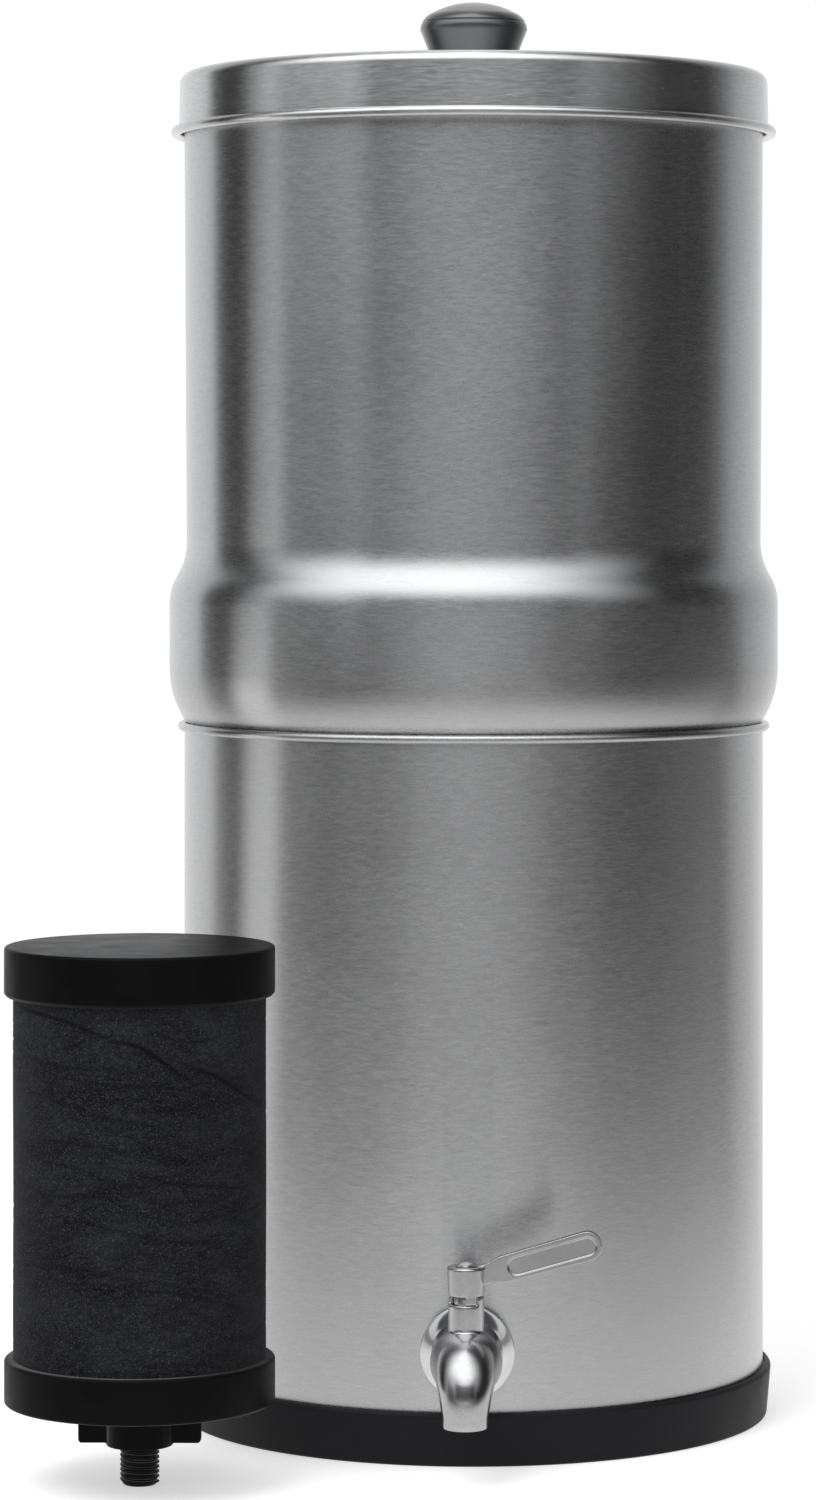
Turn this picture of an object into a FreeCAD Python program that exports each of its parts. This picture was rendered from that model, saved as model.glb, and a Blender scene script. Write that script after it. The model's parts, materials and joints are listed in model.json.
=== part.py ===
"""Gravity water filter: two stacked steel chambers, a lid, a tap and two filter cartridges.

All lengths are in millimetres and all angles in degrees. The origin is the centre of the
base's underside, +Z is up and the tap faces -Y. One cartridge is fitted in the upper
chamber; its twin stands on its own stem in front of the filter, to the left.
"""

import FreeCAD, Part
import math
import os
import re

import Sketcher

# Driving sizes, each set by itself: name, value, what it is
SIZES = (
    ("steel_sheet", 0.8, "thickness of the chambers' and the lid's sheet"),
    ("seat_gap", 0.3, "gap at a seat between pieces that come apart or turn on each other"),
    ("running_gap", 0.06, "radial gap of a turning fit"),
    ("hole_gap", 0.3, "radial gap of a stem or a shank in its hole"),
    ("boot_height", 19.5, "height of the rubber base"),
    ("boot_wall", 3.15, "how far the base's upper edge stands out from the lower chamber"),
    ("boot_taper", 1.7, "how much smaller the base's radius is on the table"),
    ("boot_floor", 3.0, "thickness of the base under the lower chamber"),
    ("boot_groove", 0.7, "width and depth of the groove between the base's lip and the steel"),
    ("boot_edge", 1.0, "chamfer of the base's outer edges"),
    ("chamber_radius", 111.15, "outer radius of the lower chamber"),
    ("chamber_corner", 5.0, "outer radius of the chambers' floor corners"),
    ("lower_rim_height", 263.3, "height of the lower chamber's rim bead above the table"),
    ("rim_curl", 0.85, "hollow radius of the lower chamber's rolled rim"),
    ("nest_gap", 0.6, "radial gap between the nested upper chamber and the lower one"),
    ("nest_depth", 15.0, "how far the upper chamber reaches into the lower one"),
    ("bulge_out", 5.75, "how far the upper chamber's bulge stands out from the lower chamber"),
    ("bulge_height", 25.0, "height of the bulge's straight band"),
    ("bulge_under_round", 37.0, "rounding under the bulge"),
    ("bulge_over_round", 20.0, "rounding on top of the bulge"),
    ("waist_round", 24.0, "hollow rounding between the bulge and the wall"),
    ("waist_in", 6.6, "how far the wall is drawn in above the bulge"),
    ("wall_flare", 1.0, "how much wider the upper wall is at its rim than above the bulge"),
    ("upper_wall_height", 177.2, "height of the upper wall, from the bulge to the rim's rounding"),
    ("upper_rim_round", 1.5, "radius of the upper rim, which is turned inwards"),
    ("upper_rim_lip", 2.0, "length of the turned edge that points down inside"),
    ("lid_slip", 0.8, "radial gap between the lid's skirt and the upper wall"),
    ("lid_flare", 0.4, "how much wider the skirt is at its foot"),
    ("lid_skirt", 22.4, "from the lid's top to the centre of its curl"),
    ("lid_edge", 4.0, "rounding of the lid's top edge"),
    ("lid_curl", 1.1, "hollow radius of the lid's rolled edge"),
    ("knob_radius", 20.6, "widest radius of the knob"),
    ("knob_foot_radius", 14.2, "radius of the knob where it stands on the lid"),
    ("knob_height", 28.0, "height of the knob"),
    ("knob_dome", 34.0, "radius of the knob's domed top"),
    ("knob_edge", 7.0, "rounding between the dome and the knob's side"),
    ("knob_hole_depth", 14.0, "depth of the knob's threaded hole"),
    ("knob_screw_radius", 2.5, "radius of the knob screw's shank"),
    ("knob_screw_reach", 12.0, "how far the screw goes into the knob"),
    ("knob_screw_head", 4.6, "radius of the knob screw's head"),
    ("knob_screw_head_height", 2.6, "height of the knob screw's head"),
    ("knob_washer_radius", 7.5, "radius of the washer under the lid"),
    ("knob_washer_thickness", 1.2, "thickness of the washer under the lid"),
    ("tap_height", 41.7, "height of the tap's axis above the table"),
    ("tap_gasket_radius", 15.5, "radius of the tap's rubber gaskets"),
    ("tap_gasket", 2.5, "thickness of the tap's gaskets at their middle"),
    ("tap_flange_radius", 17.1, "radius of the tap's flange"),
    ("tap_flange_thickness", 3.2, "thickness of the flange at its middle"),
    ("tap_flange_rim", 1.2, "thickness of the flange at its edge"),
    ("tap_shank_radius", 7.9, "radius of the tap's threaded shank"),
    ("tap_shank_reach", 26.0, "how far the shank reaches inside the chamber's outer wall"),
    ("tap_washer_radius", 14.0, "radius of the washer under the lock nut"),
    ("tap_washer_thickness", 1.6, "thickness of that washer"),
    ("tap_nut_width", 25.0, "lock nut across its flats"),
    ("tap_nut_thickness", 6.5, "thickness of the lock nut"),
    ("water_radius", 3.6, "radius of the water way through the tap and the valve"),
    ("bell_radius", 13.0, "radius of the tap's body behind the bend"),
    ("neck_reach", 22.8, "from the chamber's wall to the valve's axis"),
    ("spout_reach", 38.8, "from the chamber's wall to the spout's axis"),
    ("bend_radius", 16.0, "radius of the body's bend, at its centreline"),
    ("spout_radius", 8.2, "outer radius of the spout below the bend"),
    ("spout_bore", 4.8, "radius of the spout's bore"),
    ("spout_length", 4.3, "straight end of the spout below the bend"),
    ("spout_edge", 0.9, "rounding of the spout's mouth"),
    ("neck_radius", 6.45, "outer radius of the valve neck"),
    ("neck_height", 24.0, "from the tap's axis to the valve neck's rim"),
    ("spindle_radius", 4.5, "radius of the valve's turning plug"),
    ("spindle_floor", 2.2, "the plug reaches this far below its port"),
    ("seal_wire", 0.75, "radius of the valve's ring seals in section"),
    ("seal_bite", 0.03, "how far the seals stand out of their grooves"),
    ("seal_low_rise", 6.8, "from the tap's axis to the lower ring seal"),
    ("seal_high_rise", 17.3, "from the tap's axis to the upper ring seal"),
    ("square_width", 6.0, "width of the square on top of the plug"),
    ("square_height", 6.0, "height of that square inside the lever's hub"),
    ("hub_radius", 6.85, "radius of the lever's hub at its top"),
    ("hub_foot_radius", 6.45, "radius of the hub at its foot"),
    ("hub_height", 10.3, "height of the hub"),
    ("hub_edge", 0.6, "chamfer of the hub's top"),
    ("lever_reach", 50.2, "from the valve's axis to the lever's tip, along the lever"),
    ("lever_slope_angle", 15.6, "slope of the lever"),
    ("lever_thickness", 3.6, "thickness of the lever's blade"),
    ("lever_end_radius", 5.25, "radius of the lever's round end"),
    ("lever_root_height", 7.0, "height of the blade at the hub"),
    ("lever_root_reach", 8.5, "where the blade starts to widen"),
    ("lever_shoulder_reach", 13.5, "where the blade has its full height"),
    ("lever_shoulder_height", 9.6, "height of the blade there"),
    ("lever_panel_start", 15.5, "start of the recessed panel"),
    ("lever_panel_rim", 1.4, "rim around the recessed panel"),
    ("lever_panel_depth", 0.8, "depth of the recessed panel"),
    ("lever_centre", 5.6, "height of the blade's axis above the hub's foot"),
    ("lever_turn", 90.0, "quarter turn from closed to open"),
    ("lug_angle", 35.0, "width of the stop lug under the hub"),
    ("lug_side_angle", 2.0, "from the front to the lug's near side, with the tap closed"),
    ("lug_height", 2.5, "height of the stop lug"),
    ("stop_play", 3.0, "free angle between the lug and each end of its notch"),
    ("screw_radius", 2.0, "radius of the lever screw"),
    ("screw_reach", 8.0, "how far the screw goes into the plug"),
    ("screw_head_radius", 3.9, "radius of the lever screw's head"),
    ("screw_head_height", 1.7, "height of that domed head"),
    ("stem_radius", 7.1, "radius of a cartridge's threaded stem"),
    ("stem_bore", 3.0, "radius of the water way down the stem"),
    ("stem_length", 26.6, "length of the stem below the cartridge's collar"),
    ("stem_chamfer", 1.0, "chamfer of the stem's end"),
    ("collar_radius", 18.45, "radius of the collar under the cartridge"),
    ("collar_height", 2.9, "height of that collar"),
    ("seal_radius", 15.4, "radius of the stem's rubber washer"),
    ("seal_thickness", 2.4, "thickness of the stem's rubber washer"),
    ("cap_wall", 3.15, "thickness of the caps' skirts round the block"),
    ("cap_edge", 1.2, "rounding of the caps' edges"),
    ("cap_roof", 3.5, "thickness of the caps' flat ends"),
    ("foot_cap_height", 16.1, "height of the bottom cap"),
    ("top_cap_height", 17.6, "height of the top cap"),
    ("block_length", 128.5, "visible length of the filter block between the caps"),
    ("block_radius", 45.0, "radius of the filter block with its wrap"),
    ("block_wrap", 0.8, "thickness of the fleece wrap"),
    ("block_core", 14.0, "radius of the hollow core in the block"),
    ("wing_hub_radius", 11.85, "radius of the wing nut's middle"),
    ("wing_hub_height", 9.9, "height of the wing nut"),
    ("wing_span", 43.8, "wing nut from tip to tip"),
    ("wing_thickness", 5.2, "thickness of the wings"),
    ("wing_height", 8.0, "height of the wings"),
    ("wing_edge", 1.2, "rounding of the wings' outer edges"),
    ("cartridge_wall_gap", 8.8, "between a fitted cartridge's caps and the chamber's wall"),
    ("spare_left", 116.0, "how far left of the axis the second cartridge stands"),
    ("spare_front", 143.5, "how far in front of the axis the second cartridge stands"),
    ("plug_head_radius", 12.5, "radius of the plug in the free cartridge hole"),
    ("plug_head_height", 4.0, "height of the plug's head"),
    ("plug_stem_height", 9.0, "length of the plug below the chamber's floor"),
    ("plug_taper", 0.8, "how much slimmer the plug is at its foot"),
    ("plug_edge", 1.0, "chamfer of the plug's head"),
)

# Places that follow from the sizes: name, formula
PLACES = (
    ("boot_top_radius", "chamber_radius + boot_wall"),
    ("boot_bottom_radius", "boot_top_radius - boot_taper"),
    ("bulge_radius", "chamber_radius + bulge_out"),
    ("waist_radius", "bulge_radius - waist_in"),
    ("upper_wall_radius", "waist_radius + wall_flare"),
    ("lower_bead_radius", "chamber_radius + rim_curl"),
    ("rim_wire", "rim_curl + steel_sheet"),
    ("bulge_centre_radius", "bulge_radius - bulge_under_round"),
    ("bulge_seat", "bulge_under_round + rim_wire + seat_gap"),
    ("bulge_seat_side", "lower_bead_radius - bulge_centre_radius"),
    ("bulge_foot", "lower_rim_height + sqrt(bulge_seat * bulge_seat - bulge_seat_side * bulge_seat_side)"),
    ("bulge_top", "bulge_foot + bulge_height"),
    ("nest_radius", "chamber_radius - steel_sheet - nest_gap"),
    ("nest_side", "nest_radius - bulge_centre_radius"),
    ("nest_top", "bulge_foot - sqrt(bulge_under_round * bulge_under_round - nest_side * nest_side)"),
    ("upper_floor", "nest_top - nest_depth"),
    ("upper_floor_top", "upper_floor + steel_sheet"),
    ("shoulder_rounds", "bulge_over_round + waist_round"),
    ("shoulder_cos", "1 - (bulge_radius - waist_radius) / shoulder_rounds"),
    ("shoulder_sin", "sqrt(1 - shoulder_cos * shoulder_cos)"),
    ("waist_height", "bulge_top + shoulder_rounds * shoulder_sin"),
    ("upper_rim_centre", "waist_height + upper_wall_height"),
    ("upper_rim_top", "upper_rim_centre + upper_rim_round"),
    ("lid_top", "upper_rim_top + seat_gap + steel_sheet"),
    ("lid_radius", "upper_wall_radius + lid_slip + steel_sheet"),
    ("lid_foot_radius", "lid_radius + lid_flare"),
    ("lid_curl_height", "lid_top - lid_skirt"),
    ("dome_centre", "knob_height - knob_dome"),
    ("dome_inner", "knob_dome - knob_edge"),
    ("edge_centre_radius", "knob_radius - knob_edge"),
    ("edge_rise", "sqrt(dome_inner * dome_inner - edge_centre_radius * edge_centre_radius)"),
    ("edge_centre_height", "dome_centre + edge_rise"),
    ("flange_back", "chamber_radius + tap_gasket"),
    ("flange_front", "flange_back + tap_flange_thickness"),
    ("inner_gasket_back", "chamber_radius - steel_sheet - tap_gasket"),
    ("bend_start", "chamber_radius + spout_reach - bend_radius"),
    ("bend_foot", "tap_height - bend_radius"),
    ("spout_foot", "bend_foot - spout_length"),
    ("neck_top", "tap_height + neck_height"),
    ("seal_low", "tap_height + seal_low_rise"),
    ("seal_high", "tap_height + seal_high_rise"),
    ("neck_axis", "chamber_radius + neck_reach"),
    ("spout_axis", "chamber_radius + spout_reach"),
    ("spindle_foot", "tap_height - water_radius - spindle_floor"),
    ("seal_ring_radius", "spindle_radius + seal_bite - seal_wire"),
    ("groove_radius", "seal_ring_radius - seal_wire"),
    ("hub_foot", "neck_top + seat_gap"),
    ("cap_radius", "block_radius + cap_wall"),
    ("cartridge_offset", "nest_radius - steel_sheet - cartridge_wall_gap - cap_radius"),
    ("collar_foot", "stem_length"),
    ("foot_cap_foot", "stem_length + collar_height"),
    ("block_foot", "foot_cap_foot + cap_roof"),
    ("foot_cap_top", "foot_cap_foot + foot_cap_height"),
    ("top_cap_foot", "foot_cap_top + block_length"),
    ("top_cap_top", "top_cap_foot + top_cap_height"),
    ("block_top", "top_cap_top - cap_roof"),
    ("seal_foot", "stem_length - seal_thickness"),
    ("fitted_height", "upper_floor_top - seal_foot"),
    ("stem_hole", "stem_radius + hole_gap"),
)

SIZE_NAMES = {name for name, number, note in SIZES}
PLACE_NAMES = {name for name, text in PLACES}

BEND_STEPS = 6
FRONT = FreeCAD.Vector(0, -1, 0)
RIGHT = FreeCAD.Vector(1, 0, 0)
UP = FreeCAD.Vector(0, 0, 1)

doc = FreeCAD.newDocument("GravityFilter")


def formula(text):
    """The formula with each size and place named as the document knows it."""

    def known(match):
        word = match.group(0)
        if word in SIZE_NAMES:
            return "Sizes." + word
        if word in PLACE_NAMES:
            return "Places." + word
        return word

    return re.sub(r"[a-z_]+", known, text)


def fill_sheet():
    sheet = doc.addObject("Spreadsheet::Sheet", "Sizes")
    for row, (name, number, note) in enumerate(SIZES, start=1):
        sheet.set(f"A{row}", name)
        sheet.set(f"B{row}", str(number))
        sheet.set(f"C{row}", note)
        sheet.setAlias(f"B{row}", name)
    doc.recompute()
    return sheet


def fill_places():
    places = doc.addObject("App::VarSet", "Places")
    for name, text in PLACES:
        places.addProperty("App::PropertyFloat", name)
        places.setExpression(name, formula(text))
    doc.recompute()


def value(text):
    """What a formula comes to with the sizes as they are."""
    return float(sizes.evalExpression(formula(text)))


def bind(item, **texts):
    """Ties properties of an object to formulas."""
    for name, text in texts.items():
        item.setExpression(name, formula(text))
    return item


def place(item, x="0", y="0", z="0", axis=UP, angle="0"):
    """Moves and turns an object, with each number tied to its formula."""
    item.Placement = FreeCAD.Placement(FreeCAD.Vector(), FreeCAD.Rotation(axis, 1))
    for name, text in ((".Base.x", x), (".Base.y", y), (".Base.z", z), (".Rotation.Angle", angle)):
        item.setExpression("Placement" + name, formula(text))
    return item


def arc(x, z, centre_x, centre_z, turn):
    """A step of an outline that goes round a centre: turn is 1 anticlockwise, -1 clockwise."""
    return x, z, centre_x, centre_z, turn


def tie(sketch, kind, shape, point, text):
    """Ties one coordinate of a sketch point to a formula."""
    number = sketch.addConstraint(Sketcher.Constraint(kind, -1, 1, shape, point, value(text)))
    sketch.setExpression(f"Constraints[{number}]", formula(text))


def tie_both(sketch, shape, point, x, z):
    tie(sketch, "DistanceX", shape, point, x)
    tie(sketch, "DistanceY", shape, point, z)


def outline(sketch, steps, closed):
    """Draws straight and round steps, joins them and ties every point to its formulas."""
    spots = [FreeCAD.Vector(value(step[0]), value(step[1]), 0) for step in steps]
    legs = list(zip(spots, spots[1:], steps[1:]))
    if closed:
        legs.append((spots[-1], spots[0], steps[0][:2]))
    ends = []
    for start, stop, step in legs:
        if len(step) == 2:
            shape = sketch.addGeometry(Part.LineSegment(start, stop))
            ends.append((shape, 1, 2))
            continue
        centre = FreeCAD.Vector(value(step[2]), value(step[3]), 0)
        first, last = (start, stop) if step[4] > 0 else (stop, start)
        angles = [math.atan2(spot.y - centre.y, spot.x - centre.x) for spot in (first, last)]
        if angles[1] <= angles[0]:
            angles[1] += 2 * math.pi
        circle = Part.Circle(centre, UP, start.distanceToPoint(centre))
        shape = sketch.addGeometry(Part.ArcOfCircle(circle, *angles))
        ends.append((shape, 1, 2) if step[4] > 0 else (shape, 2, 1))
    for (shape, head, tail), (after, after_head, after_tail) in zip(ends, ends[1:]):
        sketch.addConstraint(Sketcher.Constraint("Coincident", shape, tail, after, after_head))
    if closed:
        sketch.addConstraint(Sketcher.Constraint("Coincident", ends[-1][0], ends[-1][2], ends[0][0], 1))
    tie_both(sketch, ends[0][0], ends[0][1], *steps[0][:2])
    for (start, stop, step), (shape, head, tail) in zip(legs, ends):
        if closed and shape == ends[-1][0]:
            continue
        if len(step) == 2:
            tie_both(sketch, shape, tail, *step)
            continue
        tie_both(sketch, shape, 3, *step[2:4])
        across = abs(stop.y - value(step[3])) > abs(stop.x - value(step[2]))
        if across:
            tie(sketch, "DistanceX", shape, tail, step[0])
        else:
            tie(sketch, "DistanceY", shape, tail, step[1])


def body_sketch(body, role, steps):
    """A closed sketch on one of the body's own origin planes."""
    sketch = body.newObject("Sketcher::SketchObject", body.Label + "_outline")
    plane = [item for item in body.Origin.OriginFeatures if item.Role == role][0]
    sketch.AttachmentSupport = [(plane, "")]
    sketch.MapMode = "FlatFace"
    outline(sketch, steps, True)
    return sketch


def new_body(label):
    body = doc.addObject("PartDesign::Body", label)
    body.Label = label
    return body


def turned(label, steps):
    """A body turned about Z from a closed half section."""
    body = new_body(label)
    sketch = body_sketch(body, "XZ_Plane", steps)
    turn = body.newObject("PartDesign::Revolution", label + "_turn")
    turn.Profile = sketch
    turn.ReferenceAxis = (sketch, ["V_Axis"])
    turn.Angle = 360
    sketch.Visibility = False
    return body


def spun_sheet(label, steps, side=""):
    """A sheet steel shell turned about Z. The steps are its outer face, from the axis to its rim,
    and the sheet lies to the left of them, or to the right where side is a minus."""
    path = doc.addObject("Sketcher::SketchObject", label + "_path")
    path.Placement = FreeCAD.Placement(FreeCAD.Vector(), FreeCAD.Rotation(RIGHT, 90))
    outline(path, steps, False)
    section = doc.addObject("Part::Offset2D", label + "_section")
    section.Source = path
    section.Mode = "Skin"
    section.Join = "Intersection"
    section.Fill = True
    bind(section, Value=side + "steel_sheet")
    shell = doc.addObject("Part::Revolution", label + "_shell")
    shell.Source = section
    shell.Axis = UP
    shell.Angle = 360
    shell.Solid = True
    return shell


def cylinder(label, radius, height, **where):
    round_bar = bind(doc.addObject("Part::Cylinder", label), Radius=radius, Height=height)
    return place(round_bar, **where)


def box(label, length, width, height, **where):
    block = bind(doc.addObject("Part::Box", label), Length=length, Width=width, Height=height)
    return place(block, **where)


def cut(label, base, *tools):
    """The base with each tool taken away in turn. The last cut carries the label."""
    for number, tool in enumerate(tools, start=1):
        name = label if number == len(tools) else f"{label}_step_{number}"
        made = doc.addObject("Part::Cut", name)
        made.Base = base
        made.Tool = tool
        base = made
    base.Label = label
    return base


def fuse(label, *shapes):
    made = doc.addObject("Part::MultiFuse", label)
    made.Shapes = list(shapes)
    made.Label = label
    return made


def base_boot():
    """The rubber base: a shallow cup with a lip that stands off the steel by a narrow groove."""
    seat = "chamber_radius"
    return turned(
        "base_boot",
        (
            ("0", "0"),
            ("boot_bottom_radius - boot_edge", "0"),
            ("boot_bottom_radius", "boot_edge"),
            ("boot_top_radius", "boot_height - boot_edge"),
            ("boot_top_radius - boot_edge", "boot_height"),
            (seat + " + boot_groove", "boot_height"),
            (seat + " + boot_groove", "boot_height - boot_groove"),
            (seat, "boot_height - boot_groove"),
            (seat, "boot_floor + chamber_corner"),
            arc(seat + " - chamber_corner", "boot_floor", seat + " - chamber_corner",
                "boot_floor + chamber_corner", -1),
            ("0", "boot_floor"),
        ),
    )


def lower_chamber():
    """The lower can: a flat floor, a straight wall and a rim rolled outwards, with the tap's hole."""
    wall = "chamber_radius"
    shell = spun_sheet(
        "lower_can",
        (
            ("0", "boot_floor"),
            (wall + " - chamber_corner", "boot_floor"),
            arc(wall, "boot_floor + chamber_corner", wall + " - chamber_corner",
                "boot_floor + chamber_corner", 1),
            (wall, "lower_rim_height"),
            arc("lower_bead_radius", "lower_rim_height - rim_curl", "lower_bead_radius",
                "lower_rim_height", -1),
        ),
    )
    tap_hole = cylinder("tap_hole", "tap_shank_radius + hole_gap", "2 * tap_gasket_radius",
                        y="tap_gasket_radius - chamber_radius", z="tap_height", axis=RIGHT, angle="90")
    return cut("lower_chamber", shell, tap_hole)


def upper_chamber():
    """The upper can: it nests in the lower one, stands on its rim under the bulge and has two
    cartridge holes in its floor."""
    over = "bulge_radius - bulge_over_round"
    shell = spun_sheet(
        "upper_can",
        (
            ("0", "upper_floor"),
            ("nest_radius - chamber_corner", "upper_floor"),
            arc("nest_radius", "upper_floor + chamber_corner", "nest_radius - chamber_corner",
                "upper_floor + chamber_corner", 1),
            ("nest_radius", "nest_top"),
            arc("bulge_radius", "bulge_foot", "bulge_centre_radius", "bulge_foot", 1),
            ("bulge_radius", "bulge_top"),
            arc(over + " + bulge_over_round * shoulder_cos",
                "bulge_top + bulge_over_round * shoulder_sin", over, "bulge_top", 1),
            arc("waist_radius", "waist_height", "waist_radius + waist_round", "waist_height", -1),
            ("upper_wall_radius", "upper_rim_centre"),
            arc("upper_wall_radius - upper_rim_round", "upper_rim_top",
                "upper_wall_radius - upper_rim_round", "upper_rim_centre", 1),
            arc("upper_wall_radius - 2 * upper_rim_round", "upper_rim_centre",
                "upper_wall_radius - upper_rim_round", "upper_rim_centre", 1),
            ("upper_wall_radius - 2 * upper_rim_round", "upper_rim_centre - upper_rim_lip"),
        ),
    )
    holes = [
        cylinder(f"cartridge_hole_{side}", "stem_hole", "nest_depth", x=f"{sign}cartridge_offset",
                 z="upper_floor - nest_depth / 2")
        for side, sign in (("left", "-"), ("right", ""))
    ]
    return cut("upper_chamber", shell, *holes)


def lid():
    """The lid: a flat plate with a round edge, a skirt over the upper wall and a rolled foot."""
    shell = spun_sheet(
        "lid_pan",
        (
            ("0", "lid_top"),
            ("lid_radius - lid_edge", "lid_top"),
            arc("lid_radius", "lid_top - lid_edge", "lid_radius - lid_edge", "lid_top - lid_edge", -1),
            ("lid_foot_radius", "lid_curl_height"),
            arc("lid_foot_radius + lid_curl", "lid_curl_height + lid_curl",
                "lid_foot_radius + lid_curl", "lid_curl_height", 1),
        ),
        side="-",
    )
    screw_hole = cylinder("lid_screw_hole", "knob_screw_radius + hole_gap", "lid_skirt",
                          z="lid_top - lid_skirt / 2")
    return cut("lid", shell, screw_hole)


def lid_knob():
    """The mushroom knob, with a threaded blind hole from below."""
    body = turned(
        "lid_knob",
        (
            ("knob_screw_radius", "0"),
            ("knob_foot_radius", "0"),
            ("knob_radius", "edge_centre_height"),
            arc("edge_centre_radius * knob_dome / dome_inner",
                "dome_centre + edge_rise * knob_dome / dome_inner",
                "edge_centre_radius", "edge_centre_height", 1),
            arc("0", "knob_height", "0", "dome_centre", 1),
            ("0", "knob_hole_depth"),
            ("knob_screw_radius", "knob_hole_depth"),
        ),
    )
    return place(body, z="lid_top")


def knob_screw():
    """The screw that holds the knob, pushed up through the lid from inside."""
    head = "knob_screw_head_height"
    tip = head + " + knob_washer_thickness + steel_sheet + knob_screw_reach"
    body = turned(
        "knob_screw",
        (
            ("0", "0"),
            ("knob_screw_head - knob_screw_head_height / 3", "0"),
            ("knob_screw_head", "knob_screw_head_height / 3"),
            ("knob_screw_head", head),
            ("knob_screw_radius", head),
            ("knob_screw_radius", tip),
            ("0", tip),
        ),
    )
    return place(body, z="lid_top - steel_sheet - knob_washer_thickness - knob_screw_head_height")


def ring(label, inner, outer, height):
    return turned(label, ((inner, "0"), (outer, "0"), (outer, height), (inner, height)))


def knob_washer():
    body = ring("knob_washer", "knob_screw_radius + hole_gap", "knob_washer_radius",
                "knob_washer_thickness")
    return place(body, z="lid_top - steel_sheet - knob_washer_thickness")


def across_wall(label, radius, length, start):
    """A round bar along the tap's axis, from a distance in front of the filter's axis outwards."""
    return cylinder(label, radius, length, y=f"-({start})", z="tap_height", axis=RIGHT, angle="90")


def tap_gaskets():
    """The rubber gaskets outside and inside the wall. Each fits the wall's curve on one side."""
    outer_blank = across_wall("outer_gasket_blank", "tap_gasket_radius", "tap_gasket + tap_gasket_radius",
                              "chamber_radius - tap_gasket_radius")
    outer_wall = cylinder("outer_gasket_wall", "chamber_radius", "2 * tap_height")
    outer_bore = across_wall("outer_gasket_bore", "tap_shank_radius", "2 * tap_gasket_radius",
                             "chamber_radius - tap_gasket_radius")
    cut("tap_outer_gasket", outer_blank, outer_wall, outer_bore)

    inner_blank = across_wall("inner_gasket_blank", "tap_gasket_radius", "tap_gasket + tap_gasket_radius",
                              "inner_gasket_back")
    inner_wall = cylinder("inner_gasket_wall", "chamber_radius - steel_sheet", "2 * tap_height")
    inner_round = doc.addObject("Part::Common", "inner_gasket_round")
    inner_round.Base = inner_blank
    inner_round.Tool = inner_wall
    inner_bore = across_wall("inner_gasket_bore", "tap_shank_radius", "2 * tap_gasket_radius",
                             "chamber_radius - tap_gasket_radius")
    cut("tap_inner_gasket", inner_round, inner_bore)


def tap_flange():
    """The bright dished flange, slipped over the shank in front of the outer gasket."""
    body = turned(
        "tap_flange",
        (
            ("tap_shank_radius", "0"),
            ("tap_flange_radius", "0"),
            ("tap_flange_radius", "tap_flange_rim"),
            ("tap_flange_radius - tap_flange_rim", "tap_flange_rim"),
            ("bell_radius", "tap_flange_thickness"),
            ("tap_shank_radius", "tap_flange_thickness"),
        ),
    )
    return place(body, y="-flange_back", z="tap_height", axis=RIGHT, angle="90")


def tap_washer():
    body = ring("tap_washer", "tap_shank_radius + hole_gap", "tap_washer_radius", "tap_washer_thickness")
    return place(body, y="tap_washer_thickness - inner_gasket_back", z="tap_height", axis=RIGHT, angle="90")


def tap_nut():
    """The lock nut on the shank inside the chamber."""
    blank = doc.addObject("Part::Prism", "tap_nut_blank")
    blank.Polygon = 6
    bind(blank, Circumradius="tap_nut_width / 2 / cos(30)", Height="tap_nut_thickness")
    seat = "inner_gasket_back - tap_washer_thickness"
    place(blank, y=f"tap_nut_thickness - ({seat})", z="tap_height", axis=RIGHT, angle="90")
    thread = across_wall("tap_nut_thread", "tap_shank_radius", "2 * tap_nut_thickness",
                         f"{seat} - 1.5 * tap_nut_thickness")
    return cut("tap_lock_nut", blank, thread)


def tap_bend():
    """The bend of the body, lofted through circles that shrink from the bell to the spout."""
    rings = []
    for step in range(BEND_STEPS + 1):
        share = step / BEND_STEPS
        angle = 90 * share
        circle = bind(doc.addObject("Part::Circle", f"bend_ring_{step}"),
                      Radius=f"bell_radius + (spout_radius - bell_radius) * {share}")
        place(circle, y=f"-(bend_start + bend_radius * sin({angle}))",
              z=f"bend_foot + bend_radius * cos({angle})", axis=RIGHT, angle=f"{90 + angle}")
        rings.append(circle)
    bend = doc.addObject("Part::Loft", "tap_bend")
    bend.Sections = rings
    bend.Solid = True
    return bend


def spout_tip():
    """The straight end of the spout, with a rounded mouth."""
    body = turned(
        "spout_tip",
        (
            ("0", "0"),
            ("spout_radius - spout_edge", "0"),
            arc("spout_radius", "spout_edge", "spout_radius - spout_edge", "spout_edge", 1),
            ("spout_radius", "bend_foot - spout_foot"),
            ("0", "bend_foot - spout_foot"),
        ),
    )
    return place(body, y="-spout_axis", z="spout_foot")


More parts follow.
